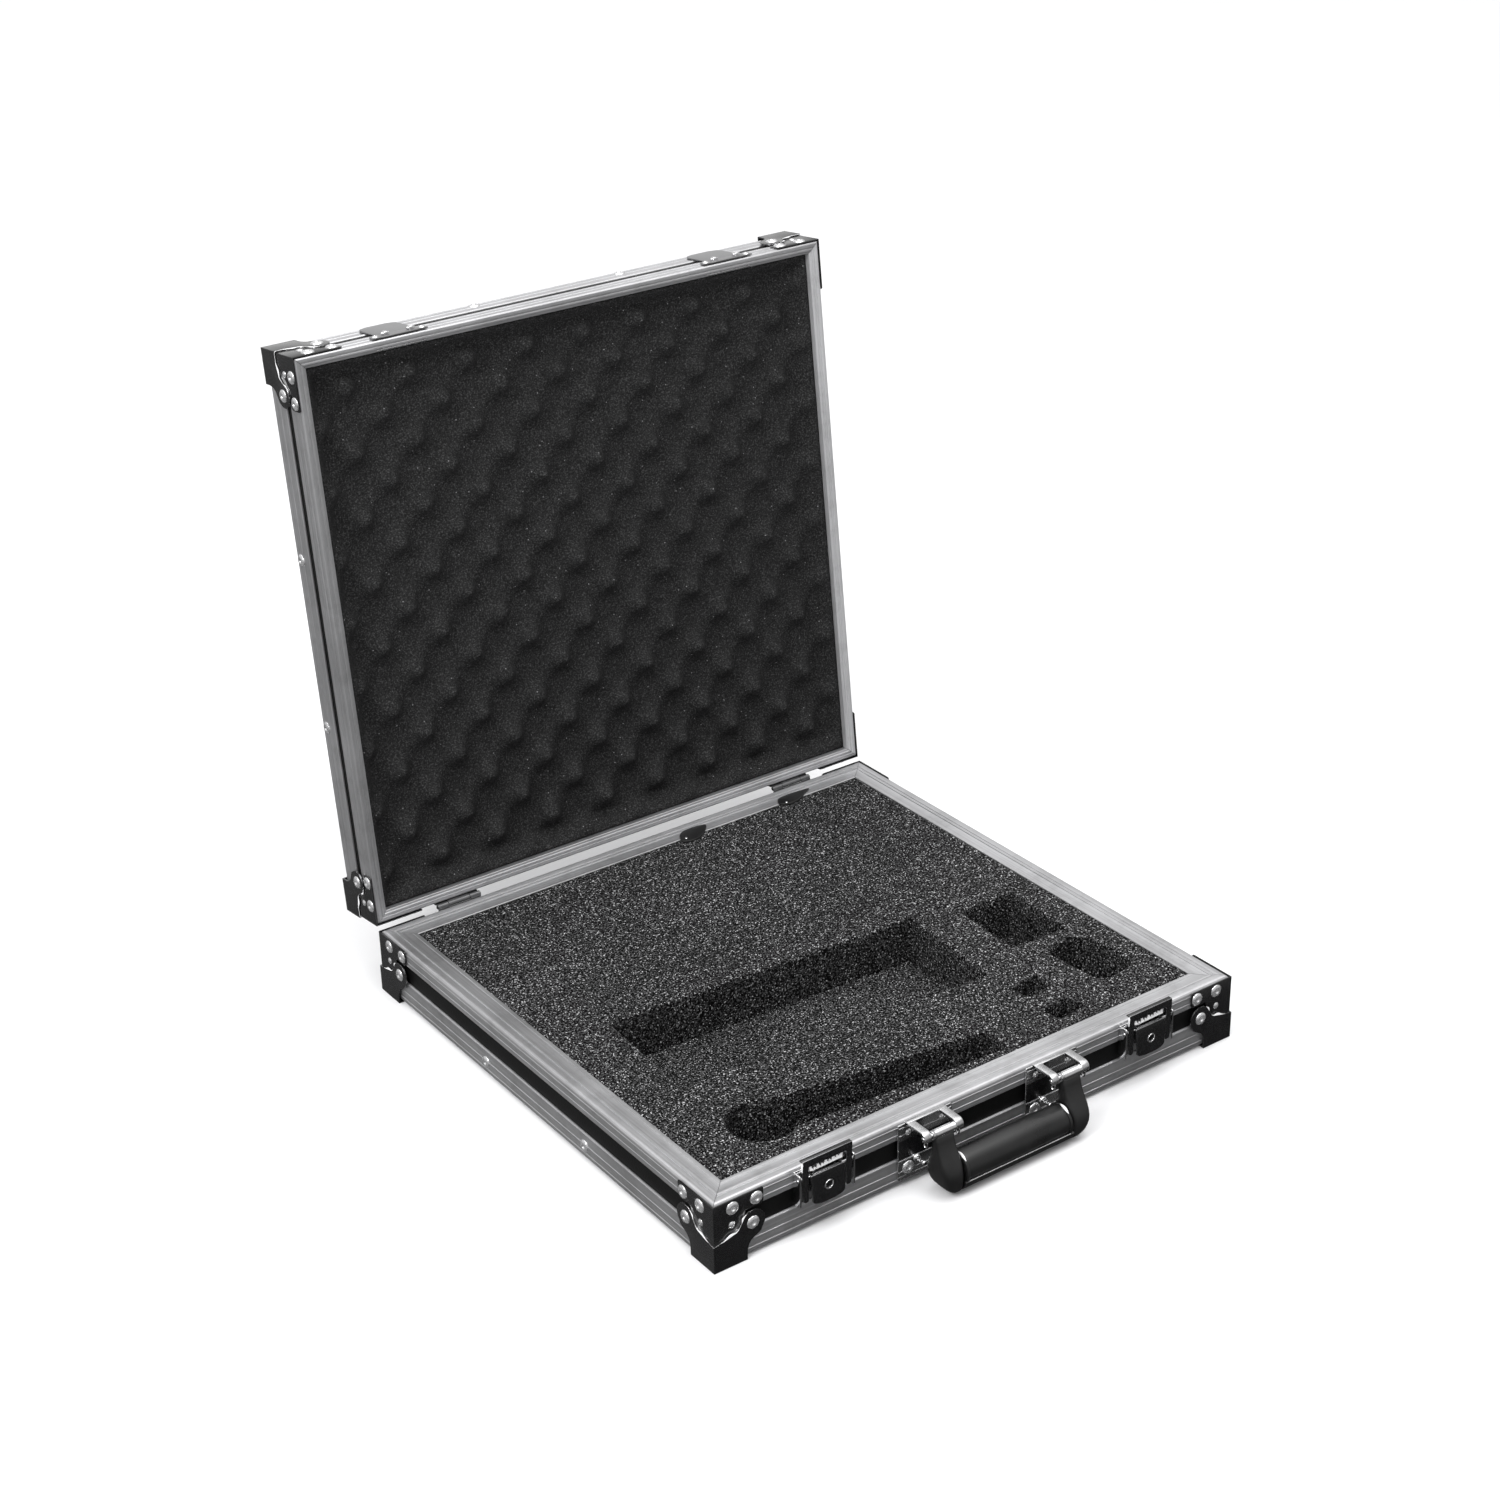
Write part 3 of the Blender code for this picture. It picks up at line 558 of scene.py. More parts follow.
def build(name, shape, finishes, body, nodes=(), lid=False, smooth=36.0, turn=None):
    """Makes the piece: metres, smooth shading with sharp edges kept, on its body."""
    mesh = bpy.data.meshes.new(name)
    mesh.from_pydata([tuple(Vector(p) * MM) for p in shape[0]], [], shape[1])
    mesh.polygons.foreach_set("material_index", shape[2])
    mesh.validate()
    if lid:
        mesh.transform(LID_STANDS)
    bm = bmesh.new()
    bm.from_mesh(mesh)
    bmesh.ops.dissolve_degenerate(bm, dist=1e-8, edges=bm.edges)
    bmesh.ops.recalc_face_normals(bm, faces=bm.faces)
    bm.to_mesh(mesh)
    bm.free()
    for finish in finishes:
        mesh.materials.append(finish)
    mesh.shade_smooth()
    mesh.set_sharp_from_angle(angle=math.radians(smooth))
    obj = bpy.data.objects.new(name, mesh)
    bpy.context.scene.collection.objects.link(obj)
    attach(obj, body)
    if nodes:
        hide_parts(*nodes)
    return obj


def arc(cx, cz, r, start, end, steps):
    return [
        (cx + r * math.cos(math.radians(start + (end - start) * i / steps)),
         cz + r * math.sin(math.radians(start + (end - start) * i / steps)))
        for i in range(steps + 1)
    ]


def filleted(corners, steps=4):
    """A polyline whose corners are (x, y) or (x, y, radius); the ones with a radius are rounded."""
    points, count = [], len(corners)
    for i, corner in enumerate(corners):
        if len(corner) == 2 or corner[2] <= 0:
            points.append(tuple(corner[:2]))
            continue
        p = Vector(corner[:2])
        a, b = Vector(corners[i - 1][:2]) - p, Vector(corners[(i + 1) % count][:2]) - p
        la, lb = a.length, b.length
        a, b = a / la, b / lb
        angle = math.acos(max(-1.0, min(1.0, a.dot(b))))
        if angle > math.radians(174) or angle < math.radians(6):
            points.append(tuple(p))
            continue
        reach = min(corner[2] / math.tan(angle / 2), 0.46 * la, 0.46 * lb)
        r = reach * math.tan(angle / 2)
        middle = p + (a + b).normalized() * (r / math.sin(angle / 2))
        start, end = p + a * reach - middle, p + b * reach - middle
        sweep = math.pi - angle
        sign = 1.0 if start.x * end.y - start.y * end.x > 0 else -1.0
        for k in range(steps + 1):
            t = sign * sweep * k / steps
            points.append((
                middle.x + start.x * math.cos(t) - start.y * math.sin(t),
                middle.y + start.x * math.sin(t) + start.y * math.cos(t),
            ))
    return points


# ---- extrusions ------------------------------------------------------------------------------
def bead(height, going_up, half=0.68, face=1.75, top=1.36, steps=6):
    """A half-round bead on an extrusion's outer face."""
    s = 1 if going_up else -1
    return [
        (face - (face - top) * math.sin(math.pi * i / steps), height - s * half * math.cos(math.pi * i / steps))
        for i in range(steps + 1)
    ]


BASE_LIP = filleted(
    [(3.1, 40.7), (2.15, 40.7, 0.3), (1.75, 41.2, 0.3)]
    + bead(45.1, True) + bead(51.4, True)
    + [
        (1.75, 52.7, 0.6), (2.1, 54.1, 0.9), (3.1, 55.25, 0.8), (4.6, BASE_H, 0.9),
        (9.0, BASE_H, 0.16), (9.3, BASE_H - 0.7, 0.14), (10.1, BASE_H - 0.7, 0.14), (10.45, BASE_H, 0.22),
        (12.5, BASE_H, 0.12), (12.75, BASE_H - 0.8, 0.1), (20.3, BASE_H - 0.9, 0.1), (20.5, BASE_H - 0.55, 0.1),
        (23.45, BASE_H - 0.6, 0.15), (23.8, BASE_H - 1.0, 0.15), (23.8, 46.5, 0.2), (22.4, 46.5, 0.2),
        (22.4, 53.0), (3.1, 53.0),
    ]
)
EDGE = filleted(
    [
        (3.1, 24.4), (3.1, 2.9), (24.0, 2.9, 0.2), (24.0, 1.6, 0.2),
        (5.0, 1.6, 0.8), (3.3, 1.75, 0.5), (2.3, 2.4, 0.5), (1.9, 3.4, 0.4),
    ]
    + bead(6.1, True) + bead(13.4, True) + bead(23.0, True)
    + [(1.75, 24.0, 0.2), (2.15, 24.4, 0.2)]
)
LID_LIP = filleted(
    [(3.1, 18.7), (2.15, 18.7, 0.25), (1.75, 18.2, 0.25)]
    + bead(14.4, False) + bead(6.9, False)
    + [
        (1.75, 2.5, 0.6), (2.2, 1.0, 0.6), (3.3, 0.35, 0.5), (5.8, 0.35, 0.12), (6.05, 1.0, 0.1), (6.7, 1.0, 0.1),
        (7.0, 0.55, 0.15), (8.6, 0.55, 0.2), (8.85, 1.6, 0.12), (10.6, 1.7, 0.15), (10.9, 1.95, 0.12), (10.9, 9.0, 0.2),
        (9.6, 9.0, 0.2), (9.6, 3.6), (3.1, 3.6),
    ]
)
MITRE_GAP = 0.24


def extrusion(profile, side, base_z, sign):
    """A length of extrusion with mitred ends on one side of the case."""
    wide = side in ("front", "back")
    half, away = (WIDTH, DEPTH) if wide else (DEPTH, WIDTH)
    half, away = half / 2, away / 2
    rings = []
    for fraction in (-1.0, -0.5, 0.0, 0.5, 1.0):
        rings.append([
            (fraction * (half - u - MITRE_GAP), u - away, base_z + sign * h) for u, h in profile
        ])
    turn = {"front": 0.0, "right": 90.0, "back": 180.0, "left": -90.0}[side]
    return placed(loft(rings), Matrix.Rotation(math.radians(turn), 4, "Z"))


for side in ("front", "back", "left", "right"):
    metal = ALU_X if side in ("front", "back") else ALU_Y
    for name, profile, base_z, sign, body in (
        (f"base_lip_{side}", BASE_LIP, 0.0, 1, "base"),
        (f"base_edge_{side}", EDGE, 0.0, 1, "base"),
        (f"lid_lip_{side}", LID_LIP, BASE_H, 1, "lid"),
        (f"lid_edge_{side}", EDGE, LID_TOP, -1, "lid"),
    ):
        # the lid's right rails take the painted-light copy of the aluminium
        build(
            name + "_rail", extrusion(profile, side, base_z, sign),
            [(ALU_Y_LID_RIGHT_LIT if side == "right" else ALU_Y_LID) if body == "lid" and metal is ALU_Y else metal], body,
            [name], lid=body == "lid", smooth=40.0,
        )


# ---- boards ----------------------------------------------------------------------------------
for node in ("base_bottom_panel", "base_wall_frame", "lid_top_panel", "lid_wall_frame"):
    mesh = frame["nodes"][node].data
    mesh.materials.clear()
    mesh.materials.append(LAMINATE)
mesh = frame["nodes"]["base_foam_pad"].data
mesh.materials.clear()
mesh.materials.append(FOAM)


# ---- base foam: flat face with hand-cut pockets -------------------------------------------------
FOAM_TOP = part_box("base_foam")[1].z / MM
FOAM_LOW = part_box("base_foam")[0].z / MM


def rounded(cx, cy, w, h, r, turn=0.0, steps=6):
    points = []
    for sx, sy, start in ((1, 1, 0), (-1, 1, 90), (-1, -1, 180), (1, -1, 270)):
        for i in range(steps + 1):
            a = math.radians(start + 90.0 * i / steps)
            points.append((sx * (w / 2 - r) + r * math.cos(a), sy * (h / 2 - r) + r * math.sin(a)))
    c, s = math.cos(math.radians(turn)), math.sin(math.radians(turn))
    return [(cx + c * x - s * y, cy + s * x + c * y) for x, y in points]


def microphone_outline():
    """Ball head running into a tapering body."""
    head, r, tail = Vector((-158.5, -170.0)), 26.0, Vector((45.0, -192.0))
    along = (tail - head).normalized()
    across = Vector((-along.y, along.x))
    length = (tail - head).length
    join = math.asin(19.0 / r)
    points = [
        head + along * r * math.cos(a) + across * r * math.sin(a)
        for a in (join + (2 * math.pi - 2 * join) * i / 40 for i in range(41))
    ]
    tip = 13.5
    points += [head + along * (length - 4) - across * tip, head + along * (length - 1.2) - across * (tip - 1.2)]
    points += [head + along * length - across * (tip - 4), head + along * length + across * (tip - 4)]
    points += [head + along * (length - 1.2) + across * (tip - 1.2), head + along * (length - 4) + across * tip]
    return [tuple(p) for p in points]


POCKETS = [
    rounded(-37.0, -56.3, 281.0, 105.0, 3.0, -3.4),
    microphone_outline(),
    rounded(115.5, -151.0, 27.5, 18.0, 2.0, 6.0),
    rounded(114.0, -189.0, 27.5, 18.0, 2.0, 5.0),
    rounded(170.5, -64.5, 54.0, 70.0, 4.0, -3.0),
    rounded(181.0, -146.0, 41.0, 62.0, 12.0, 6.0),
]


def resampled(loop, step):
    """The closed loop with no side longer than step."""
    points = []
    for i, a in enumerate(loop):
        b = loop[(i + 1) % len(loop)]
        count = max(1, int(math.dist(a, b) / step))
        points += [(a[0] + (b[0] - a[0]) * k / count, a[1] + (b[1] - a[1]) * k / count) for k in range(count)]
    return points


def outward(loop):
    """Unit normals pointing out of a counter-clockwise loop."""
    normals = []
    for i in range(len(loop)):
        a, b = Vector(loop[i - 1]), Vector(loop[(i + 1) % len(loop)])
        along = (b - a).normalized()
        normals.append(Vector((along.y, -along.x)))
    return normals


def inside(loop, x, y):
    hit = False
    for i in range(len(loop)):
        (ax, ay), (bx, by) = loop[i - 1], loop[i]
        if (ay > y) != (by > y) and x < (bx - ax) * (y - ay) / (by - ay) + ax:
            hit = not hit
    return hit


def area(loop):
    return sum(loop[i - 1][0] * loop[i][1] - loop[i][0] * loop[i - 1][1] for i in range(len(loop))) / 2


def filled(outer, holes, grid):
    """A flat sheet inside outer and outside the holes, with grid points in it: (points, triangles)."""
    verts, edges = [], []
    for loop in (outer, *holes):
        start = len(verts)
        verts += [Vector(p) for p in loop]
        edges += [(start + i, start + (i + 1) % len(loop)) for i in range(len(loop))]
    boundary = len(verts)
    verts += [Vector(p) for p in grid]
    points, _, faces, _, _, _ = delaunay_2d_cdt(verts, edges, [], 0, 1e-6)
    assert len(points) == len(verts)
    boxes = [(min(x for x, _ in h), max(x for x, _ in h), min(y for _, y in h), max(y for _, y in h)) for h in holes]
    kept = []
    for face in faces:
        x = sum(points[i].x for i in face) / 3
        y = sum(points[i].y for i in face) / 3
        if any(b[0] < x < b[1] and b[2] < y < b[3] and inside(h, x, y) for h, b in zip(holes, boxes)):
            continue
        kept.append(list(face))
    return points, kept, boundary


def foam_block():
    loops = []
    for number, loop in enumerate(POCKETS):
        loop = resampled(loop if area(loop) > 0 else list(reversed(loop)), 2.2)
        normals = outward(loop)
        wobble = [0.35 * noise.noise(Vector((p[0] * 0.11, p[1] * 0.11, number * 7.0))) for p in loop]
        loop = [(p[0] + n.x * w, p[1] + n.y * w) for p, n, w in zip(loop, normals, wobble)]
        loops.append((loop, normals))
    levels = [(1.5, 0.0), (0.75, -0.16), (0.25, -0.6), (0.0, -1.3), (0.0, -6.0), (0.0, -12.0), (0.0, -18.0),
              (0.0, -25.0), (0.0, -32.0), (0.0, FOAM_LOW - FOAM_TOP)]

    def ring(loop, normals, away, drop, number):
        sway = 0.0 if drop > -2.0 or drop <= FOAM_LOW - FOAM_TOP else 0.45
        made = []
        for p, n in zip(loop, normals):
            s = sway * noise.noise(Vector((p[0] * 0.05, p[1] * 0.05, drop * 0.07 + number)))
            made.append((p[0] + n.x * (away + s), p[1] + n.y * (away + s), FOAM_TOP + drop))
        return made

    rings = [[ring(loop, normals, away, drop, number) for away, drop in levels] for number, (loop, normals) in enumerate(loops)]

    def frame_loop(inset, z):
        x, y = WIDTH / 2 - inset, DEPTH / 2 - inset
        corners = [(-x, -y), (x, -y), (x, y), (-x, y)]
        made = []
        for i, a in enumerate(corners):
            b = corners[(i + 1) % 4]
            made += [(a[0] + (b[0] - a[0]) * k / 96, a[1] + (b[1] - a[1]) * k / 96, z) for k in range(96)]
        return made

    outers = [frame_loop(24.9, FOAM_TOP), frame_loop(24.3, FOAM_TOP - 0.25), frame_loop(24.1, FOAM_TOP - 1.0),
              frame_loop(24.1, 46.0), frame_loop(7.9, 46.0), frame_loop(7.9, FOAM_LOW)]
    top_holes = [[p[:2] for p in r[0]] for r in rings]
    grid = []
    step = 4.2
    nx, ny = int(WIDTH / step), int(DEPTH / step)
    boxes = [(min(x for x, _ in h) - 3, max(x for x, _ in h) + 3, min(y for _, y in h) - 3, max(y for _, y in h) + 3) for h in top_holes]
    grown = [[(p[0] + n.x * 3.4, p[1] + n.y * 3.4) for p, n in zip(loop, normals)] for loop, normals in loops]
    for j in range(ny):
        for i in range(nx):
            x = -WIDTH / 2 + (i + 0.5 + 0.5 * (j % 2)) * step
            y = -DEPTH / 2 + (j + 0.5) * step
            if abs(x) > WIDTH / 2 - 27.5 or abs(y) > DEPTH / 2 - 27.5:
                continue
            if any(b[0] < x < b[1] and b[2] < y < b[3] and inside(g, x, y) for g, b in zip(grown, boxes)):
                continue
            grid.append((x, y))
    sheet, faces, boundary = filled([p[:2] for p in outers[0]], top_holes, grid)
    points = [
        Vector((p.x, p.y, FOAM_TOP if i < boundary else FOAM_TOP + 0.28 * noise.noise(Vector((p.x * 0.035, p.y * 0.035, 3.0)))))
        for i, p in enumerate(sheet)
    ]
    shapes = [(points, faces, [0] * len(faces))]
    shapes.append(loft(outers, caps=False))
    for r in rings:
        shapes.append(loft(r, caps=False))
    low_holes = [[p[:2] for p in r[-1]] for r in rings]
    sheet, faces, _ = filled([p[:2] for p in outers[-1]], low_holes, [])
    shapes.append(([Vector((p.x, p.y, FOAM_LOW)) for p in sheet], faces, [0] * len(faces)))
    bm = to_bmesh(merged(*shapes))
    bmesh.ops.remove_doubles(bm, verts=bm.verts, dist=1e-4)
    bmesh.ops.recalc_face_normals(bm, faces=bm.faces)
    return from_bmesh(bm)


build("base_foam_cut", foam_block(), [FOAM], "base", ["base_foam"], smooth=60.0)


# ---- lid foam: egg-crate ---------------------------------------------------------------------------
def egg_crate():
    low, high = BASE_H + 3.2, LID_TOP - 6.6
    x1, y1 = WIDTH / 2 - 11.4, DEPTH / 2 - 11.4
    pitch_x, pitch_y, peak_x, peak_y, relief = 53.7, 53.0, -201.0, -202.0, 15.5
    nx, ny = int(2 * x1 / 1.9), int(2 * y1 / 1.9)
    points = []
    for j in range(ny + 1):
        y = -y1 + 2 * y1 * j / ny
        for i in range(nx + 1):
            x = -x1 + 2 * x1 * i / nx
            c = math.cos(2 * math.pi * (x - peak_x) / pitch_x) * math.cos(2 * math.pi * (y - peak_y) / pitch_y)
            wander = noise.noise(Vector((x * 0.021, y * 0.021, 5.0)))
            grain = noise.noise(Vector((x * 0.30, y * 0.30, 9.0)))
            edge = min(x1 - abs(x), y1 - abs(y))
            inner = min(1.0, edge / 15.0)
            inner = inner * inner * (3 - 2 * inner)
            height = relief * (1 - ((1 + c) / 2) ** 3.2) + 0.9 * wander + 0.25 * grain
            tuck = max(0.0, 1.0 - edge / 2.2)
            z = low + 1.2 + max(0.0, height) * inner + 1.4 * (1 - inner) + 1.0 * tuck * tuck
            points.append(Vector((x, y, min(z, high - 6.0))))
    count = nx + 1
    faces = [[j * count + i, (j + 1) * count + i, (j + 1) * count + i + 1, j * count + i + 1] for j in range(ny) for i in range(nx)]
    rim = [i for i in range(count)]
    rim += [j * count + nx for j in range(1, ny + 1)]
    rim += [ny * count + i for i in range(nx - 1, -1, -1)]
    rim += [j * count for j in range(ny - 1, 0, -1)]
    start = len(points)
    points += [Vector((points[i].x, points[i].y, high)) for i in rim]
    total = len(rim)
    for k in range(total):
        m = (k + 1) % total
        faces.append([rim[k], rim[m], start + m, start + k])
    faces.append([start + k for k in range(total)])
    return points, faces, [0] * len(faces)


build("lid_foam_egg_crate", egg_crate(), [EGG], "lid", ["lid_foam"], lid=True, smooth=80.0)


# ---- corners: built at the corner (0, 0, 0), s along +X, t along +Y, z up from the floor --------------
def cap_side(horn_z, r):
    return (
        [(-0.9, 0.0), (27.8, 0.0), (27.8, 4.0), (27.95, 7.0), (28.4, 10.0), (29.4, 12.8), (31.2, 15.0), (34.0, 16.8), (37.0, 18.2), (40.0, 20.1)]
        + arc(33.0, horn_z, r, -41.0, 112.0, 18)
        + [(26.6, horn_z + 7.9), (25.0, horn_z + 5.6), (23.6, horn_z + 3.0), (22.4, horn_z + 0.8),
           (20.6, horn_z - 1.5), (18.6, horn_z - 3.0), (9.0, horn_z - 5.4), (-0.9, 22.4)]
    )


def brace_side(top):
    low = 41.4 if top > 52 else 37.6
    return filleted([
        (0.3, 19.4), (20.2, 27.6), (25.2, 33.0), (27.4, low), (43.0, low, 2.4), (43.0, top, 1.2), (0.3, top),
    ], 3)


RIVET = [
    (0.0, 0.5), (0.75, 0.45), (1.15, 0.28), (1.45, 0.4), (1.75, 1.22), (2.2, 1.49), (3.0, 1.45), (3.8, 1.24),
    (4.45, 0.92), (4.95, 0.52), (5.2, 0.22), (5.25, 0.0), (4.9, -0.12),
]
SMALL_RIVET = [(0.0, 1.2), (0.8, 1.16), (1.6, 0.92), (2.3, 0.48), (2.65, 0.05), (2.4, -0.1)]


def stretched_outline(points, top):
    return [(s, top if z > 53.5 else z) for s, z in points]


def both_wings(shape):
    """The shape on the X side of the corner, and its twin on the Y side."""
    swap = Matrix(((0, 1, 0, 0), (1, 0, 0, 0), (0, 0, 1, 0), (0, 0, 0, 1)))
    return [shape, placed(shape, swap)]


def upright(points, t0, t1):
    """A plain prism of an (s, z) outline, t from t0 to t1."""
    rings = [[(s, t0, z) for s, z in points], [(s, t1, z) for s, z in points]]
    bm = to_bmesh(loft(rings))
    bmesh.ops.recalc_face_normals(bm, faces=bm.faces)
    return from_bmesh(bm)


def tinted(bm, test):
    """Gives slot numbers to faces by test(centre, normal)."""
    bm.normal_update()
    for face in bm.faces:
        face.material_index = test(face.calc_center_median(), face.normal)
    return bm


def straight(normal):
    return max(abs(normal.x), abs(normal.y), abs(normal.z)) > 0.985


def corner_cap(horn_z, r):
    wings = both_wings(upright(cap_side(horn_z, r), -0.9, 0.25))
    foot = [[(-0.9, -0.9, z), (27.8, -0.9, z), (27.8, 9.0, z), (9.0, 27.8, z), (-0.9, 27.8, z)] for z in (0.0, 1.2)]
    foot_bm = to_bmesh(loft(foot))
    bmesh.ops.recalc_face_normals(foot_bm, faces=foot_bm.faces)
    bm = fused([wings[0], wings[1], from_bmesh(foot_bm)])

    def outer(e):
        return all(min(v.co.x, v.co.y) < -0.89 or v.co.z < 0.01 for v in e.verts)

    ease_edges(bm, 0.42, 3, outer)

    # the curved faces along the V and the horns take the bright and rubbed finishes: worn edges, and a painted
    # highlight along them
    def slot(c, n):
        if c.z < 18.2 or straight(n) or min(c.x, c.y) < -0.95:
            return 0
        s = max(c.x, c.y)
        if s < 1.5:
            return 0
        return 1 if s < 33.5 else 2

    return from_bmesh(tinted(bm, slot))


def corner_brace(top):
    wings = both_wings(upright(brace_side(top), 0.3, 1.1))
    bm = fused([wings[0], wings[1]])

    def outer(e):
        return all(min(v.co.x, v.co.y) < 0.31 for v in e.verts)

    ease_edges(bm, 0.28, 2, outer)

    # the downward curved faces under the horns take the rubbed finish: worn edges, and a painted highlight along them
    def slot(c, n):
        return 1 if not straight(n) and c.z < 44.0 and max(c.x, c.y) > 24.0 and n.z < -0.2 else 0

    return from_bmesh(tinted(bm, slot))


def corner_rivets(horn_z, row, small_z):
    shapes = []
    for s, z, face, profile in (
        (33.0, horn_z, -0.9, RIVET), (16.6, row, 0.3, RIVET), (37.0, row, 0.3, RIVET), (15.8, small_z, 0.3, SMALL_RIVET),
    ):
        shapes += both_wings(lathe(profile, (s, face, z), (0, -1, 0), 30))
    return merged(*shapes)


def evened(points, step):
    """The open polyline with points about step apart."""
    made = []
    for a, b in zip(points, points[1:]):
        count = max(1, round(math.dist(a, b) / step))
        made += [(a[0] + (b[0] - a[0]) * k / count, a[1] + (b[1] - a[1]) * k / count) for k in range(count)]
    return made + [points[-1]]


def v_trim(horn_z):
    """The cap's turned-out lip along the V: a bright bent strip from one horn to the other, near-white and swelling in
    two patches as a painted highlight.
    """
    run = [(29.3, horn_z + 8.9), (26.9, horn_z + 7.6), (25.3, horn_z + 5.2), (23.9, horn_z + 2.6), (22.5, horn_z + 0.3),
           (20.7, horn_z - 1.9), (18.6, horn_z - 3.3), (9.0, horn_z - 5.7), (1.2, 22.2)]
    t = -0.62
    run = evened(run, 1.1)
    # painted highlight: the strip swells where light catches the bent metal
    highlight_widths = [
        0.40 + 1.5 * math.exp(-((k / len(run) - 0.14) / 0.065) ** 2) + 1.9 * math.exp(-((k / len(run) - 0.60) / 0.12) ** 2)
        for k in range(len(run))
    ]
    path = [(s, t, z) for s, z in run] + [(-0.15, -0.15, 21.9)] + [(t, s, z) for s, z in reversed(run)]
    return tube(path, highlight_widths + [0.66] + list(reversed(highlight_widths)), 10, flat=0.45)


KINDS = {
    "base": (corner_cap(29.4, 10.4), corner_brace(54.9), corner_rivets(29.4, 47.9, 34.2), v_trim(29.4)),
    "lid": (corner_cap(27.8, 9.8), corner_brace(50.3), corner_rivets(27.8, 44.3, 33.0), v_trim(27.8)),
}
for place, sx, sy in (("front_left", -1, -1), ("front_right", 1, -1), ("back_left", -1, 1), ("back_right", 1, 1)):
    spot = (sx * WIDTH / 2, sy * DEPTH / 2, 0.0)
    for body, matrix in (
        ("base", Matrix.Translation(spot) @ Matrix.Diagonal((-sx, -sy, 1.0, 1.0))),
        ("lid", Matrix.Translation((spot[0], spot[1], LID_TOP)) @ Matrix.Diagonal((-sx, -sy, -1.0, 1.0))),
    ):
        cap, brace, rivets, trim = KINDS[body]
        swung = body == "lid"
        build(f"{body}_corner_cap_{place}", placed(cap, matrix), [BLACK, BRIGHT_CHROME_AND_EDGE_HIGHLIGHT, RUBBED_EDGE_HIGHLIGHT], body,
              [f"{body}_corner_{place}"], lid=swung, smooth=34.0)
        build(f"{body}_corner_brace_{place}", placed(brace, matrix), [BLACK, RUBBED_EDGE_HIGHLIGHT], body,
              [f"{body}_brace_{place}"], lid=swung, smooth=34.0)
        build(f"{body}_corner_rivets_{place}", placed(rivets, matrix), [NICKEL], body, lid=swung, smooth=50.0)
        build(f"{body}_corner_trim_{place}", placed(trim, matrix), [PALE_ZINC_HIGHLIGHT], body, lid=swung, smooth=60.0)


# ---- side rivets -------------------------------------------------------------------------------------
LOW_RIVET = [(0.0, 0.42), (0.6, 0.42), (0.85, 0.62), (1.1, 0.98), (1.6, 1.05), (2.2, 0.82), (2.75, 0.45), (3.05, 0.1), (3.05, 0.0), (2.8, -0.2)]


def rail_rivets(places):
    return merged(*[lathe(RIVET, at, axis, 24) for at, axis in places])


side_x = WIDTH / 2 - 1.75
side_y = DEPTH / 2 - 1.75
for body, z in (("base", 12.2), ("lid", LID_TOP - 9.6)):
    spots = []
    for sx in (-1, 1):
        spots += [((sx * side_x, y, z), (sx, 0, 0)) for y in (-67.5, 73.5)]
    spots += [((x, side_y, z), (0, 1, 0)) for x in (-66.0, 72.0)]
    if body == "lid":
        spots += [((x, -side_y, z), (0, -1, 0)) for x in (-66.0, 72.0)]
    build(f"{body}_rail_rivets", rail_rivets(spots), [NICKEL], body, lid=body == "lid", smooth=50.0)


# ---- hinges ------------------------------------------------------------------------------------------
py, pz = PIN.y, PIN.z


def hinge_leaf(x, up, knuckles, name):
    """A leaf flat on the back face with its knuckles rolled round the pin. up is +1 on the lid."""
    def z(v):
        return 2 * pz - v if up > 0 else v

    half = 20.0
    zs = sorted((z(41.6), z(pz - 2.2)))
    face = plate([filleted([(x - half, zs[0], 1.6), (x + half, zs[0], 1.6), (x + half, zs[1], 0.8), (x - half, zs[1], 0.8)], 4)],
                 0.0, 1.05, 0.25, 2)
    stand_back = Matrix(((1, 0, 0, 0), (0, 0, 1, 0), (0, 1, 0, 0), (0, 0, 0, 1)))
    shapes = [placed(face, shift(0, BACK, 0) @ stand_back)]
    for a, b in knuckles:
        shapes.append(lathe([(1.3, 0.0), (1.9, 0.0), (2.2, 0.3), (2.2, b - a - 0.3), (1.9, b - a), (1.3, b - a), (1.3, 0.0)], (x + a, py, pz), (1, 0, 0), 28))
        low, high = sorted((z(pz - 2.8), z(pz - 0.4)))
        shapes.append(rounded_box(x + a + 0.1, x + b - 0.1, BACK - 1.0, BACK + 0.15, low, high, 0.2))
    for dx in (-13.0, 13.0):
        shapes.append(lathe(LOW_RIVET, (x + dx, BACK + 1.0, z(47.0)), (0, 1, 0), 22))
    return merged(*shapes)


for side, x in (("left", -HINGE_X), ("right", HINGE_X)):
    build(f"hinge_base_leaf_{side}_rolled", hinge_leaf(x, -1, ((-20.0, -10.3), (10.3, 20.0)), "base"), [HINGE_ZINC],
          "base", [f"hinge_base_leaf_{side}"])
    build(f"hinge_lid_leaf_{side}_rolled", hinge_leaf(x, 1, ((-9.9, 9.9),), "lid"), [HINGE_ZINC],
          "lid", [f"hinge_lid_leaf_{side}"], lid=True)
    pin = lathe([(0, 0), (0.9, 0.05), (1.3, 0.3), (1.3, 0.6), (1.0, 0.7), (1.0, 40.9), (1.3, 41.0), (1.3, 41.3), (0.9, 41.55), (0, 41.6)],
                (x - 20.8, py, pz), (1, 0, 0), 20)
    build(f"hinge_pin_{side}_headed", pin, [DARK_STEEL], "base", [f"hinge_pin_{side}"])


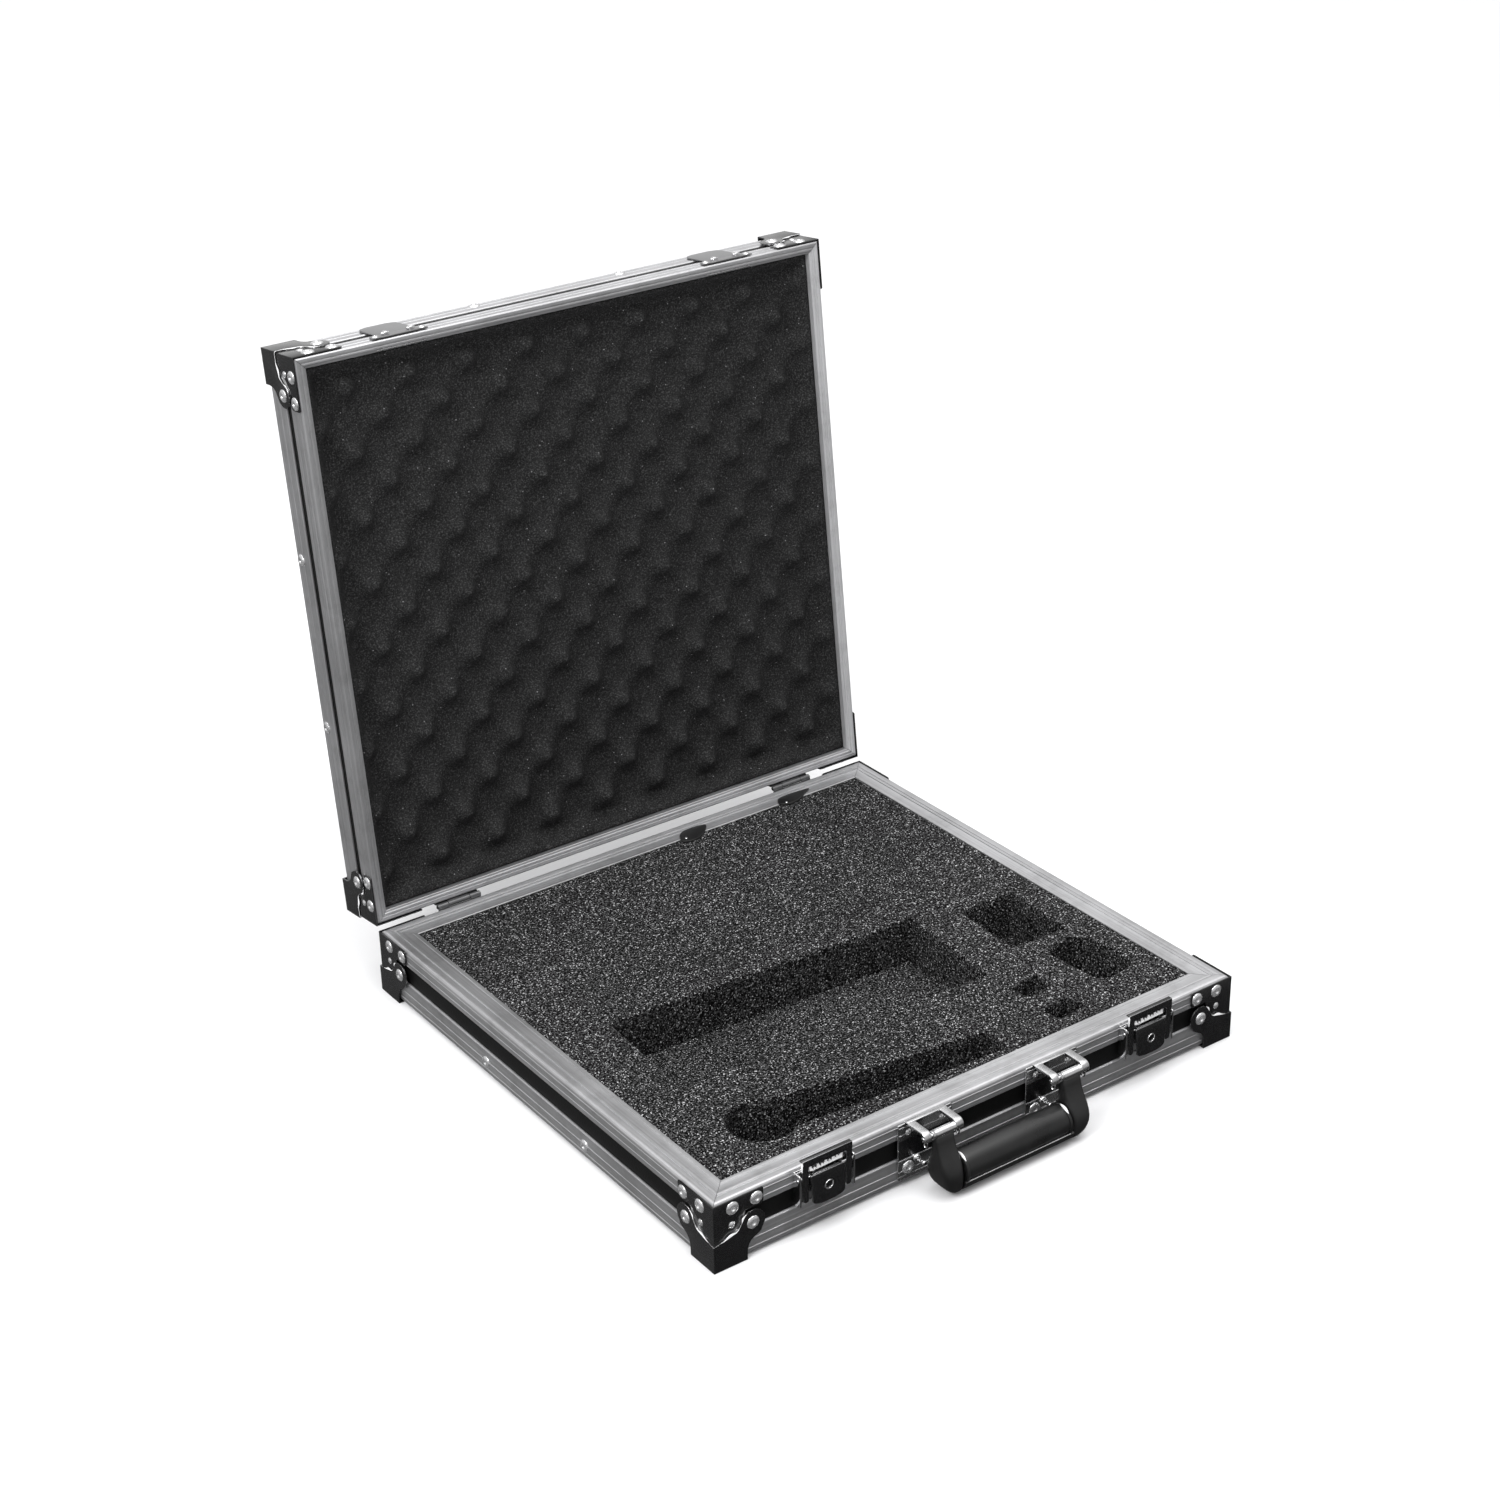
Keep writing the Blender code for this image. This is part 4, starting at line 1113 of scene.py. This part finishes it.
# ---- latches -----------------------------------------------------------------------------------------
def coil(x0, x1, q, z, radius, wire, turns):
    steps = 14 * turns
    return tube(
        [(x0 + (x1 - x0) * i / steps, out(q) + radius * math.cos(2 * math.pi * i / 14), z + radius * math.sin(2 * math.pi * i / 14))
         for i in range(steps + 1)],
        wire, 6,
    )


def slanted(shape, z_bend, lean):
    """The plate folded back above z_bend."""
    bm = to_bmesh(shape)
    bmesh.ops.bisect_plane(bm, geom=list(bm.verts) + list(bm.edges) + list(bm.faces), dist=1e-4, plane_co=(0, 0, z_bend), plane_no=(0, 0, 1))
    for v in bm.verts:
        if v.co.z > z_bend:
            v.co.y += (v.co.z - z_bend) * lean
    return from_bmesh(bm)


for side, x in (("left", -LATCH_X), ("right", LATCH_X)):
    lever_at = Vector(JOINTS[f"lever_{side}_swing"]["pos_m"]) / MM
    claw_at = Vector(JOINTS[f"claw_{side}_swing"]["pos_m"]) / MM
    lock_at = Vector(JOINTS[f"lock_{side}_turn"]["pos_m"]) / MM
    ax_q, ax_z, tr_q, tr_z = FRONT - lever_at.y, lever_at.z, FRONT - claw_at.y, claw_at.z

    back = front_plate([filleted([(x - 24.4, 27.0, 1.5), (x + 24.4, 27.0, 1.5), (x + 24.4, 54.8, 0.8), (x - 24.4, 54.8, 0.8)], 4)], -1.05, 0.15, 0.2)
    shapes = [back]
    for s in (-1, 1):
        a, b = sorted((x + s * 23.1, x + s * 24.4))
        cheek = plate([filleted([(out(-0.4), 27.6), (out(7.2), 27.6, 2.0), (out(7.2), 54.6, 1.6), (out(-0.4), 54.6)], 5)], a, b, 0.3, 2)
        shapes.append(placed(cheek, STAND_SIDE))
        shapes.append(lathe([(0, 0.75), (0.9, 0.7), (1.5, 0.4), (1.7, 0.0), (1.5, -0.2)], (x + s * 24.3, out(ax_q), ax_z), (s, 0, 0), 18))
    shapes.append(rod((x - 23.6, out(ax_q), ax_z), (x + 23.6, out(ax_q), ax_z), 1.2))
    shapes.append(rounded_box(x - 15.4, x + 15.4, out(5.6), out(-0.2), 54.95, 55.5, 0.2))
    shapes.append(rounded_box(x - 16.2, x - 14.6, out(5.4), out(0.3), 54.9, 60.6, 0.3))
    shapes.append(rounded_box(x + 14.6, x + 16.2, out(5.4), out(0.3), 54.9, 60.6, 0.3))
    shapes.append(recast(coil(x - 13.6, x + 13.6, 3.0, 57.3, 1.4, 0.5, 14), 2))
    shapes.append(recast(rod((x - 15.6, out(3.0), 57.3), (x + 15.6, out(3.0), 57.3), 0.7), 2))
    teeth = [58.6, 56.6, 58.0, 57.0, 58.9, 57.3, 59.1, 58.2, 59.4]
    comb = [(x - 14.2, 54.8), (x + 14.2, 54.8)]
    for k in range(len(teeth) - 1, -1, -1):
        at = x - 13.4 + 26.8 * k / (len(teeth) - 1)
        comb += [(at + 1.2, teeth[k] - 1.6), (at + 0.7, teeth[k], 0.3), (at - 0.6, teeth[k] - 0.2, 0.3), (at - 1.1, teeth[k] - 1.9)]
    # pale zinc teeth: their near-white, hardly metallic finish also paints the mechanism's highlight
    shapes.append(recast(slanted(front_plate([filleted(comb, 2)], 5.0, 5.9, 0.25), 54.6, 0.36), 1))
    build(f"latch_plate_{side}_pressed", merged(*shapes), [CHROME, PALE_ZINC_HIGHLIGHT, DARK_STEEL], "base", [f"latch_plate_{side}"], smooth=40.0)

    flap = filleted([
        (x - 15.5, 52.0, 0.8), (x - 14.2, 29.4, 2.6), (x - 11.2, 27.4, 4.0), (x - 5.0, 26.3, 6.0), (x + 5.0, 26.3, 6.0),
        (x + 11.2, 27.4, 4.0), (x + 14.2, 29.4, 2.6), (x + 15.5, 52.0, 0.8),
    ], 4)
    hole = [(x + px, lock_at.z + pz_) for px, pz_ in arc(0.0, 0.0, 3.9, 0.0, 350.0, 35)]
    face = slanted(front_plate([flap, hole], 7.6, 9.0, 0.35, 2, 1), 45.4, 0.16)
    lever = [face]
    for s in (-1, 1):
        a, b = sorted((x + s * 12.3, x + s * 13.6))
        lever.append(rounded_box(a, b, out(7.8), out(2.4), 40.5, 51.6, 0.3))
        lever.append(rod((x + s * 13.0, out(tr_q), tr_z), (x + s * 19.6, out(tr_q), tr_z), 1.2))
        # thin rubbed wires along the flap's side edges: painted highlight lines
        lever.append(recast(tube([(x + s * 14.6, out(7.5), 50.4), (x + s * 13.4, out(8.0), 31.0)], 0.28, 8), 1))
    build(f"latch_lever_{side}_flap", merged(*lever), [BLACK, RUBBED_EDGE_HIGHLIGHT], f"lever_{side}", [f"latch_lever_{side}"], smooth=40.0)

    frame_outline = filleted([
        (x - 22.2, 66.0, 1.6), (x - 21.0, 30.6, 2.6), (x - 16.6, 30.6, 1.2), (x - 16.6, 60.0, 1.0),
        (x + 16.6, 60.0, 1.0), (x + 16.6, 30.6, 1.2), (x + 21.0, 30.6, 3.6), (x + 22.2, 66.0, 1.6),
    ], 4)
    claw = [
        front_plate([frame_outline], 6.1, 7.2, 0.3, 2, 1),
        rounded_box(x - 22.0, x + 22.0, out(6.8), out(3.2), 64.8, 66.0, 0.4, 3),
        rounded_box(x - 18.3, x - 17.0, out(6.5), out(2.4), 39.7, 47.3, 0.3),
        rounded_box(x + 17.0, x + 18.3, out(6.5), out(2.4), 39.7, 47.3, 0.3),
    ]
    # painted highlights on the left side only: a near-white wire swelling at the top-left corner, and a thin rubbed
    # wire down the left edge
    claw.append(recast(tube([(x - 22.05, out(6.75), z) for z in (65.2, 63.6, 61.0, 57.5)], [0.5, 0.85, 0.6, 0.3], 10), 2))
    claw.append(recast(tube([(x - 21.9, out(6.7), z) for z in (57.0, 45.0, 33.0)], 0.28, 8), 1))
    build(f"latch_claw_{side}_frame", merged(*claw), [BLACK, RUBBED_EDGE_HIGHLIGHT, PALE_ZINC_HIGHLIGHT], f"claw_{side}", [f"latch_claw_{side}"], smooth=40.0)

    lz, lq = lock_at.z, FRONT - lock_at.y
    ring = lathe([(3.1, -0.8), (3.1, 0.6), (3.1, 1.45), (3.2, 1.65), (3.42, 1.65), (3.55, 1.45), (3.55, -0.8), (3.1, -0.8)], lock_at, (0, -1, 0), 36)
    key = [(x + px, lz + pz_) for px, pz_ in arc(0.0, 0.35, 0.95, -60.0, 240.0, 20)] + [(x - 0.42, lz - 1.75), (x + 0.42, lz - 1.75)]
    disc = [(x + px, lz + pz_) for px, pz_ in arc(0.0, 0.0, 3.12, 0.0, 350.0, 35)]
    barrel = recast(front_plate([disc, key], lq - 0.6, lq + 1.15, 0.12, 1), 1)
    behind = recast(lathe([(0, -0.7), (2.9, -0.7), (2.9, -0.4), (0, -0.4)], lock_at, (0, -1, 0), 30), 2)
    build(f"latch_lock_{side}_barrel", merged(ring, barrel, behind), [NICKEL, DARK_STEEL, BRIGHT_CHROME_AND_EDGE_HIGHLIGHT], f"lock_{side}", [f"latch_lock_{side}"], smooth=40.0)

    up = BASE_H
    tongue = filleted([
        (x - 17.0, up + 0.9), (x + 17.0, up + 0.9), (x + 17.0, up + 36.0), (x + 15.2, up + 40.4, 3.0), (x + 9.0, up + 43.0, 4.0),
        (x - 9.0, up + 43.0, 4.0), (x - 15.2, up + 40.4, 3.0), (x - 17.0, up + 36.0),
    ], 5)
    catch = [
        front_plate([tongue], -1.05, 0.05, 0.25),
        front_plate([filleted([(x - 24.0, up + 1.1), (x + 24.0, up + 1.1), (x + 24.0, up + 9.0, 2.2), (x - 24.0, up + 9.0, 2.2)], 4)], -1.0, 0.1, 0.2),
    ]
    for s in (-1, 1):
        a, b = sorted((x + s * 9.2, x + s * 13.0))
        catch.append(recast(rounded_box(a, b, out(2.8), out(-0.6), up + 3.5, up + 8.4, 0.7, 3), 1))
        catch.append(recast(rod((x + s * 7.6, out(1.4), up + 5.6), (x + s * 14.6, out(1.4), up + 5.6), 0.9), 1))
        catch.append(recast(lathe(LOW_RIVET, (x + s * 20.4, out(0.0), up + 5.0), (0, -1, 0), 20), 1))
    build(f"lid_catch_{side}_plate", merged(*catch), [CATCH_STEEL, CHROME], "lid", [f"lid_catch_{side}"], lid=True, smooth=40.0)
    tails = []
    for dx in (-19.5, -8.5, 6.0, 18.0):
        tails.append(lathe([(0, 0.9), (0.8, 0.85), (1.3, 0.5), (1.5, 0.0), (1.3, -0.2)], (x + dx, FRONT + 8.0, up + 1.5), (0, 0, -1), 16))
    tails.append(rounded_box(x - 22.0, x + 22.0, FRONT + 9.3, FRONT + 10.6, up + 1.5, up + 3.4, 0.3))
    build(f"lid_catch_{side}_backing", merged(*tails), [SATIN_CHROME], "lid", lid=True, smooth=50.0)


# ---- handle --------------------------------------------------------------------------------------------
def squarish(cx, cy, half_x, half_y, power, count=32):
    """A rounded rectangle as a superellipse."""
    points = []
    for i in range(count):
        a = 2 * math.pi * (i + 0.5) / count
        c, s = math.cos(a), math.sin(a)
        points.append((cx + half_x * math.copysign(abs(c) ** (2 / power), c), cy + half_y * math.copysign(abs(s) ** (2 / power), s)))
    return points


def bent_arm(x0, x1):
    """A bracket arm: a flat bar that runs out level with the rim and turns down at its end."""
    path = [(-0.9, 54.15, 0.0), (8.0, 54.15, 0.0), (16.6, 54.15, 0.0)]
    path += [(17.4 + 3.6 * math.sin(math.radians(a)), 50.55 + 3.6 * math.cos(math.radians(a)), float(a)) for a in range(10, 91, 10)]
    path += [(21.0, 48.7, 90.0)]
    rings = []
    for q, z, a in path:
        nq, nz = math.sin(math.radians(a)), math.cos(math.radians(a))
        section = filleted([(x0, -1.4, 0.45), (x1, -1.4, 0.45), (x1, 1.4, 0.45), (x0, 1.4, 0.45)], 3)
        rings.append([(px, out(q + nq * n), z + nz * n) for px, n in section])
    return loft(rings)


for side, x in (("left", -BRACKET_X), ("right", BRACKET_X)):
    wall = front_plate([filleted([(x - 25.0, 6.4, 1.6), (x + 25.0, 6.4, 1.6), (x + 25.0, 54.4, 1.0), (x - 25.0, 54.4, 1.0)], 4)], -1.05, 0.15, 0.2)
    # painted reflection: the plate's middle band, level with the laminate strip, takes the black finish for the dark
    # the chrome mirrors there; above and below it is satin chrome
    painted_reflection_plate = to_bmesh(recast(wall, 1))
    for cut in (24.2, 40.2):
        bmesh.ops.bisect_plane(painted_reflection_plate, geom=list(painted_reflection_plate.verts) + list(painted_reflection_plate.edges) + list(painted_reflection_plate.faces), dist=1e-4, plane_co=(0, 0, cut), plane_no=(0, 0, 1))
    tinted(painted_reflection_plate, lambda c, n: 3 if 24.2 < c.z < 40.2 else 1)
    shapes = [from_bmesh(painted_reflection_plate)]
    # thin satin chrome ribs at about the rails' bead heights: painted reflections of the beads
    for height in (9.0, 13.4, 23.0, 45.1, 51.4):
        shapes.append(recast(tube([(x - 24.2, out(0.1), height), (x, out(0.1), height), (x + 24.2, out(0.1), height)], 0.34, 8), 1))
    for s in (-1, 1):
        shapes.append(recast(tube([(x + s * 24.6, out(-0.1), z) for z in (7.4, 30.0, 53.2)], 0.42, 8), 0))
    shapes.append(recast(lathe(
        [(0.0, 10.6), (1.2, 10.6), (1.6, 10.2), (1.9, 9.6), (1.9, 8.6), (1.3, 8.2), (1.3, 7.6), (1.9, 7.2), (1.9, 6.2), (1.3, 5.8), (1.3, 5.2),
         (1.9, 4.8), (1.9, 3.8), (1.3, 3.4), (1.3, 2.8), (2.2, 2.4), (2.9, 1.6), (3.1, 0.6), (3.1, -0.2)], (x - 7.6, out(-0.4), 20.4), (0, -1, 0), 24), 0))
    shapes.append(recast(rounded_box(x - 18.0, x + 18.0, out(2.6), out(-1.0), 52.75, BASE_H - 0.02, 0.35, 3), 1))
    for s in (-1, 1):
        a, b = sorted((x + s * 11.5, x + s * 18.0))
        shapes.append(recast(bent_arm(a, b), 1))
        shapes.append(recast(lathe([(0, 0.7), (1.0, 0.66), (1.7, 0.35), (1.9, 0.0), (1.7, -0.2)], (x + s * 17.9, out(HANDLE_OUT), HANDLE_Z - 0.6), (s, 0, 0), 18), 0))
        shapes.append(recast(tube(
            [(x + s * 14.8, out(19.0 + 2.0 * math.sin(math.radians(a))), 45.6 + 3.2 * math.cos(math.radians(a))) for a in range(0, 360, 20)],
            0.55, 8, closed=True), 0))
    shapes.append(recast(rod((x - 16.5, out(HANDLE_OUT), HANDLE_Z), (x + 16.5, out(HANDLE_OUT), HANDLE_Z), 1.85), 0))
    for dx in (-15.4, 15.4):
        shapes.append(recast(lathe(RIVET, (x + dx, out(0.15), 15.5), (0, -1, 0), 30), 2))
    for dx in (-15.4, 15.4):
        shapes.append(recast(lathe(SMALL_RIVET, (x + dx, out(0.15), 46.0), (0, -1, 0), 22), 2))
    build(f"handle_bracket_{side}_forged", merged(*shapes), [CHROME, SATIN_CHROME, NICKEL, BLACK], "base", [f"handle_bracket_{side}"], smooth=40.0)

    inner = -1 if x > 0 else 1
    stations = [
        # z, outer offset, inner offset, q low, q high, power
        (49.6, 8.3, 8.3, 16.9, 23.2, 3.0),
        (49.0, 8.6, 8.6, 16.2, 23.9, 4.0),
        (45.0, 8.6, 8.6, 16.2, 24.8, 4.5),
        (40.0, 8.6, 8.6, 16.2, 26.6, 4.5),
        (36.0, 8.7, 8.7, 15.9, 28.8, 4.5),
        (32.0, 9.0, 8.9, 14.6, 31.4, 4.2),
        (28.0, 9.3, 9.0, 12.9, 34.0, 4.0),
        (24.0, 9.5, 9.0, 11.6, 36.0, 3.8),
        (20.0, 9.5, 9.0, 10.9, 37.2, 3.6),
        (16.0, 9.0, 9.0, 10.8, 37.4, 3.6),
        (12.0, 7.7, 9.0, 11.4, 36.9, 3.6),
        (9.0, 6.0, 9.0, 12.2, 36.1, 3.6),
        (6.5, 3.9, 9.0, 13.3, 35.0, 3.6),
        (4.5, 1.4, 9.0, 14.6, 33.8, 3.8),
        (3.0, -1.6, 9.0, 16.2, 32.2, 4.0),
        (2.0, -4.6, 9.0, 17.8, 30.6, 4.2),
        (1.45, -6.6, 8.8, 19.0, 29.4, 4.4),
    ]
    rings = []
    for z, away, near, q0, q1, power in stations:
        xa, xb = x - inner * away, x + inner * near
        cx, hx = (xa + xb) / 2, abs(xb - xa) / 2
        rings.append([(px, out(pq), z) for px, pq in squarish(cx, (q0 + q1) / 2, hx, (q1 - q0) / 2, power)])
    sleeve = lathe(
        [(2.25, 0.0), (3.1, 0.0), (3.55, 0.3), (3.55, 2.2), (3.2, 2.5), (3.2, 2.9), (3.6, 3.2), (3.6, 18.0), (3.2, 18.3), (3.2, 18.7),
         (3.55, 19.0), (3.55, 20.9), (3.1, 21.2), (2.25, 21.2)], (x - 10.6, out(HANDLE_OUT), HANDLE_Z), (1, 0, 0), 32)
    build(f"handle_leg_{side}_moulded", merged(loft(rings), recast(sleeve, 1)), [MOULDED, CHROME], "handle", [f"handle_leg_{side}"], smooth=50.0)

grip_low, grip_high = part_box("handle_grip")
GRIP_HALF = (grip_high.x - grip_low.x) / 2 / MM
GRIP_OUT = FRONT - (grip_low.y + grip_high.y) / 2 / MM
GRIP_Z = (grip_low.z + grip_high.z) / 2 / MM + 0.5
barrel = []
for i in range(25):
    t = -1 + 2 * i / 24
    barrel.append((12.5 + 0.7 * (1 - t * t), (t + 1) * (GRIP_HALF - 1.2)))
profile = [(0, 0.0), (11.6, 0.0), (12.2, 0.4)] + [(r, h + 0.9) for r, h in barrel]
profile += [(12.2, 2 * (GRIP_HALF - 1.2) + 1.4), (11.6, 2 * (GRIP_HALF - 1.2) + 1.8), (0, 2 * (GRIP_HALF - 1.2) + 1.8)]
shapes = [lathe(profile, (-GRIP_HALF + 0.3, out(GRIP_OUT), GRIP_Z), (1, 0, 0), 64)]
outer_curve = [(11.2, 14.0), (11.4, 11.5), (12.3, 8.6), (13.6, 6.2), (15.4, 4.2), (18.0, 2.3), (21.0, 1.5), (27.0, 1.5), (30.4, 2.4),
               (33.2, 4.2), (35.2, 6.4), (36.4, 8.8), (37.0, 11.2)]
inner_curve = [(GRIP_OUT + 12.9 * math.cos(math.radians(a)), GRIP_Z + 12.9 * math.sin(math.radians(a))) for a in range(-25, -166, -10)]
section = filleted([(q, z) for q, z in outer_curve] + inner_curve, 1)
shapes.append(recast(loft([[(px, out(q), z) for q, z in section] for px in (-GRIP_HALF - 1.4, -GRIP_HALF / 2, 0.0, GRIP_HALF / 2, GRIP_HALF + 1.4)]), 1))
# satin chrome wire along the grip's underside seam: a painted highlight on the seam
seam_highlight_q, seam_highlight_z = 36.7, 11.6
shapes.append(recast(tube([(px, out(seam_highlight_q), seam_highlight_z) for px in (-GRIP_HALF + 2.0, 0.0, GRIP_HALF - 2.0)], 0.42, 10), 2))
for s in (-1, 1):
    shapes.append(recast(lathe([(12.6, 0.0), (13.3, 0.2), (13.45, 0.7), (13.45, 1.6), (13.2, 2.1), (12.6, 2.3)],
                               (s * (GRIP_HALF - 0.2), out(GRIP_OUT), GRIP_Z), (-s, 0, 0), 64), 1))
    # painted highlight: a near-white arc wire of swelling width on the upper front of each grip end ring
    at_x, sweep = s * (GRIP_HALF - 1.5), [math.radians(a) for a in range(46, 98, 4)]
    shapes.append(recast(tube(
        [(at_x, out(GRIP_OUT + 13.15 * math.cos(a)), GRIP_Z + 13.15 * math.sin(a)) for a in sweep],
        [0.25 + 0.95 * math.sin(math.pi * i / (len(sweep) - 1)) for i in range(len(sweep))], 12), 3))
build("handle_grip_moulded", merged(*shapes), [GRIP, MOULDED, SATIN_CHROME, PALE_ZINC_HIGHLIGHT], "handle", ["handle_grip"], smooth=45.0)


# ---- moulded tabs on the back rim --------------------------------------------------------------------------
def leaf(cx, cy, knots, z0, z1):
    """A tab with a round left end and a right end drawn out to a point: a smooth loop through the knots."""
    points = []
    for i in range(len(knots)):
        a, b, c, d = (knots[(i + k) % len(knots)] for k in (-1, 0, 1, 2))
        for t in (0.0, 0.25, 0.5, 0.75):
            points.append(tuple(
                middle + 0.5 * (b[n] * 2 + (c[n] - a[n]) * t + (2 * a[n] - 5 * b[n] + 4 * c[n] - d[n]) * t * t
                                + (3 * b[n] - a[n] - 3 * c[n] + d[n]) * t * t * t)
                for n, middle in ((0, cx), (1, cy))
            ))
    return plate([points], z0, z1, 0.5, 3)


TABS = (
    (48.2, [(-14.6, -0.8), (-15.6, -4.8), (-10.4, -8.2), (-2.8, -8.6), (4.2, -5.6), (10.6, -1.2), (17.4, 7.0), (12.0, 9.4), (3.3, 10.4), (-6.0, 9.2), (-11.6, 5.2)]),
    (155.5, [(-16.0, 1.4), (-15.2, -3.0), (-7.6, -6.2), (3.4, -4.2), (12.8, 1.4), (21.4, 6.4), (13.6, 8.0), (3.0, 8.8), (-6.8, 8.6), (-12.8, 6.6)]),
)
for number, (tx, knots) in enumerate(TABS):
    tab_y = BACK - 24.0
    body_shape = leaf(tx, tab_y, knots, BASE_H - 1.1, BASE_H + 0.9)
    stud = recast(lathe([(0, 0.7), (0.6, 0.65), (1.1, 0.35), (1.25, 0.0), (1.1, -0.3)], (tx - 10.4, tab_y - 3.0, BASE_H + 0.8), (0, 0, 1), 18), 1)
    build(f"rim_tab_{number + 1}", merged(body_shape, stud), [MOULDED, NICKEL], "base", smooth=50.0)


# ---- floor, light, camera -----------------------------------------------------------------------------------
floor_finish = Finish("studio_floor", (0.86, 0.86, 0.86), 0.7, 0.0)
floor_finish.drive("Base Color", floor_finish.grey(floor_finish.noise(floor_finish.place, 3.0, 3.0), (0.3, 0.895), (0.7, 0.91)))
floor_mesh = bpy.data.meshes.new("studio_floor")
floor_mesh.from_pydata([(-14, -14, -0.0003), (14, -14, -0.0003), (14, 14, -0.0003), (-14, 14, -0.0003)], [], [(0, 1, 2, 3)])
floor_mesh.materials.append(floor_finish.mat)
floor = bpy.data.objects.new("studio_floor", floor_mesh)
bpy.context.scene.collection.objects.link(floor)
floor.visible_glossy = False

world = bpy.data.worlds.new("studio")
bpy.context.scene.world = world
world.use_nodes = True
tree = world.node_tree
tree.nodes.clear()
background = tree.nodes.new("ShaderNodeBackground")
output = tree.nodes.new("ShaderNodeOutputWorld")
tree.links.new(background.outputs[0], output.inputs[0])
where = tree.nodes.new("ShaderNodeTexCoord").outputs["Generated"]


def glow(direction, low, high, amount):
    """A soft bright region of the studio round a direction."""
    dot = tree.nodes.new("ShaderNodeVectorMath")
    dot.operation = "DOT_PRODUCT"
    tree.links.new(where, dot.inputs[0])
    dot.inputs[1].default_value = Vector(direction).normalized()
    span = tree.nodes.new("ShaderNodeMapRange")
    span.interpolation_type = "SMOOTHSTEP"
    tree.links.new(dot.outputs["Value"], span.inputs["Value"])
    span.inputs["From Min"].default_value = low
    span.inputs["From Max"].default_value = high
    span.inputs["To Min"].default_value = 0.0
    span.inputs["To Max"].default_value = amount
    return span.outputs[0]


def plus(a, b):
    node = tree.nodes.new("ShaderNodeMath")
    node.operation = "ADD"
    tree.links.new(a, node.inputs[0])
    tree.links.new(b, node.inputs[1])
    return node.outputs[0]


level = glow((0, 0, 1), -1.0, -0.999, 0.045)
sky = glow((0, 0, 1), -0.40, 0.12, 0.40)
zenith = glow((0, 0, 1), 0.50, 0.95, 1.40)
backdrop = glow((0.414, 0.902, 0.115), 0.925, 0.99, 0.55)
low_left = glow((-0.62, 0.66, -0.42), 0.45, 0.98, 0.10)
total = plus(plus(plus(plus(sky, zenith), level), backdrop), low_left)
tree.links.new(total, background.inputs["Strength"])
background.inputs["Color"].default_value = (1.0, 1.0, 1.0, 1.0)


def softbox(name, at, to, size, power):
    light = bpy.data.lights.new(name, "AREA")
    light.shape = "SQUARE"
    light.size = size
    light.energy = power
    obj = bpy.data.objects.new(name, light)
    obj.location = at
    obj.rotation_euler = (Vector(to) - Vector(at)).to_track_quat("-Z", "Y").to_euler()
    bpy.context.scene.collection.objects.link(obj)
    return obj


softbox("key_softbox", (-1.9, -0.5, 1.9), (0.0, 0.1, 0.15), 0.9, 34.0)
softbox("top_softbox", (0.3, -0.5, 2.4), (0.0, 0.0, 0.1), 1.4, 16.0)

camera_data = bpy.data.cameras.new("camera")
camera_data.lens = 64.57
camera_data.sensor_width = 36.0
camera_data.clip_start = 0.05
camera_data.clip_end = 60.0
camera = bpy.data.objects.new("camera", camera_data)
camera.location = (-1.0882, -1.4825, 1.1620)
camera.rotation_euler = tuple(math.radians(a) for a in (63.2826, 1.1715, -35.8361))
bpy.context.scene.collection.objects.link(camera)
bpy.context.scene.camera = camera
bpy.context.scene.view_settings.view_transform = "Standard"
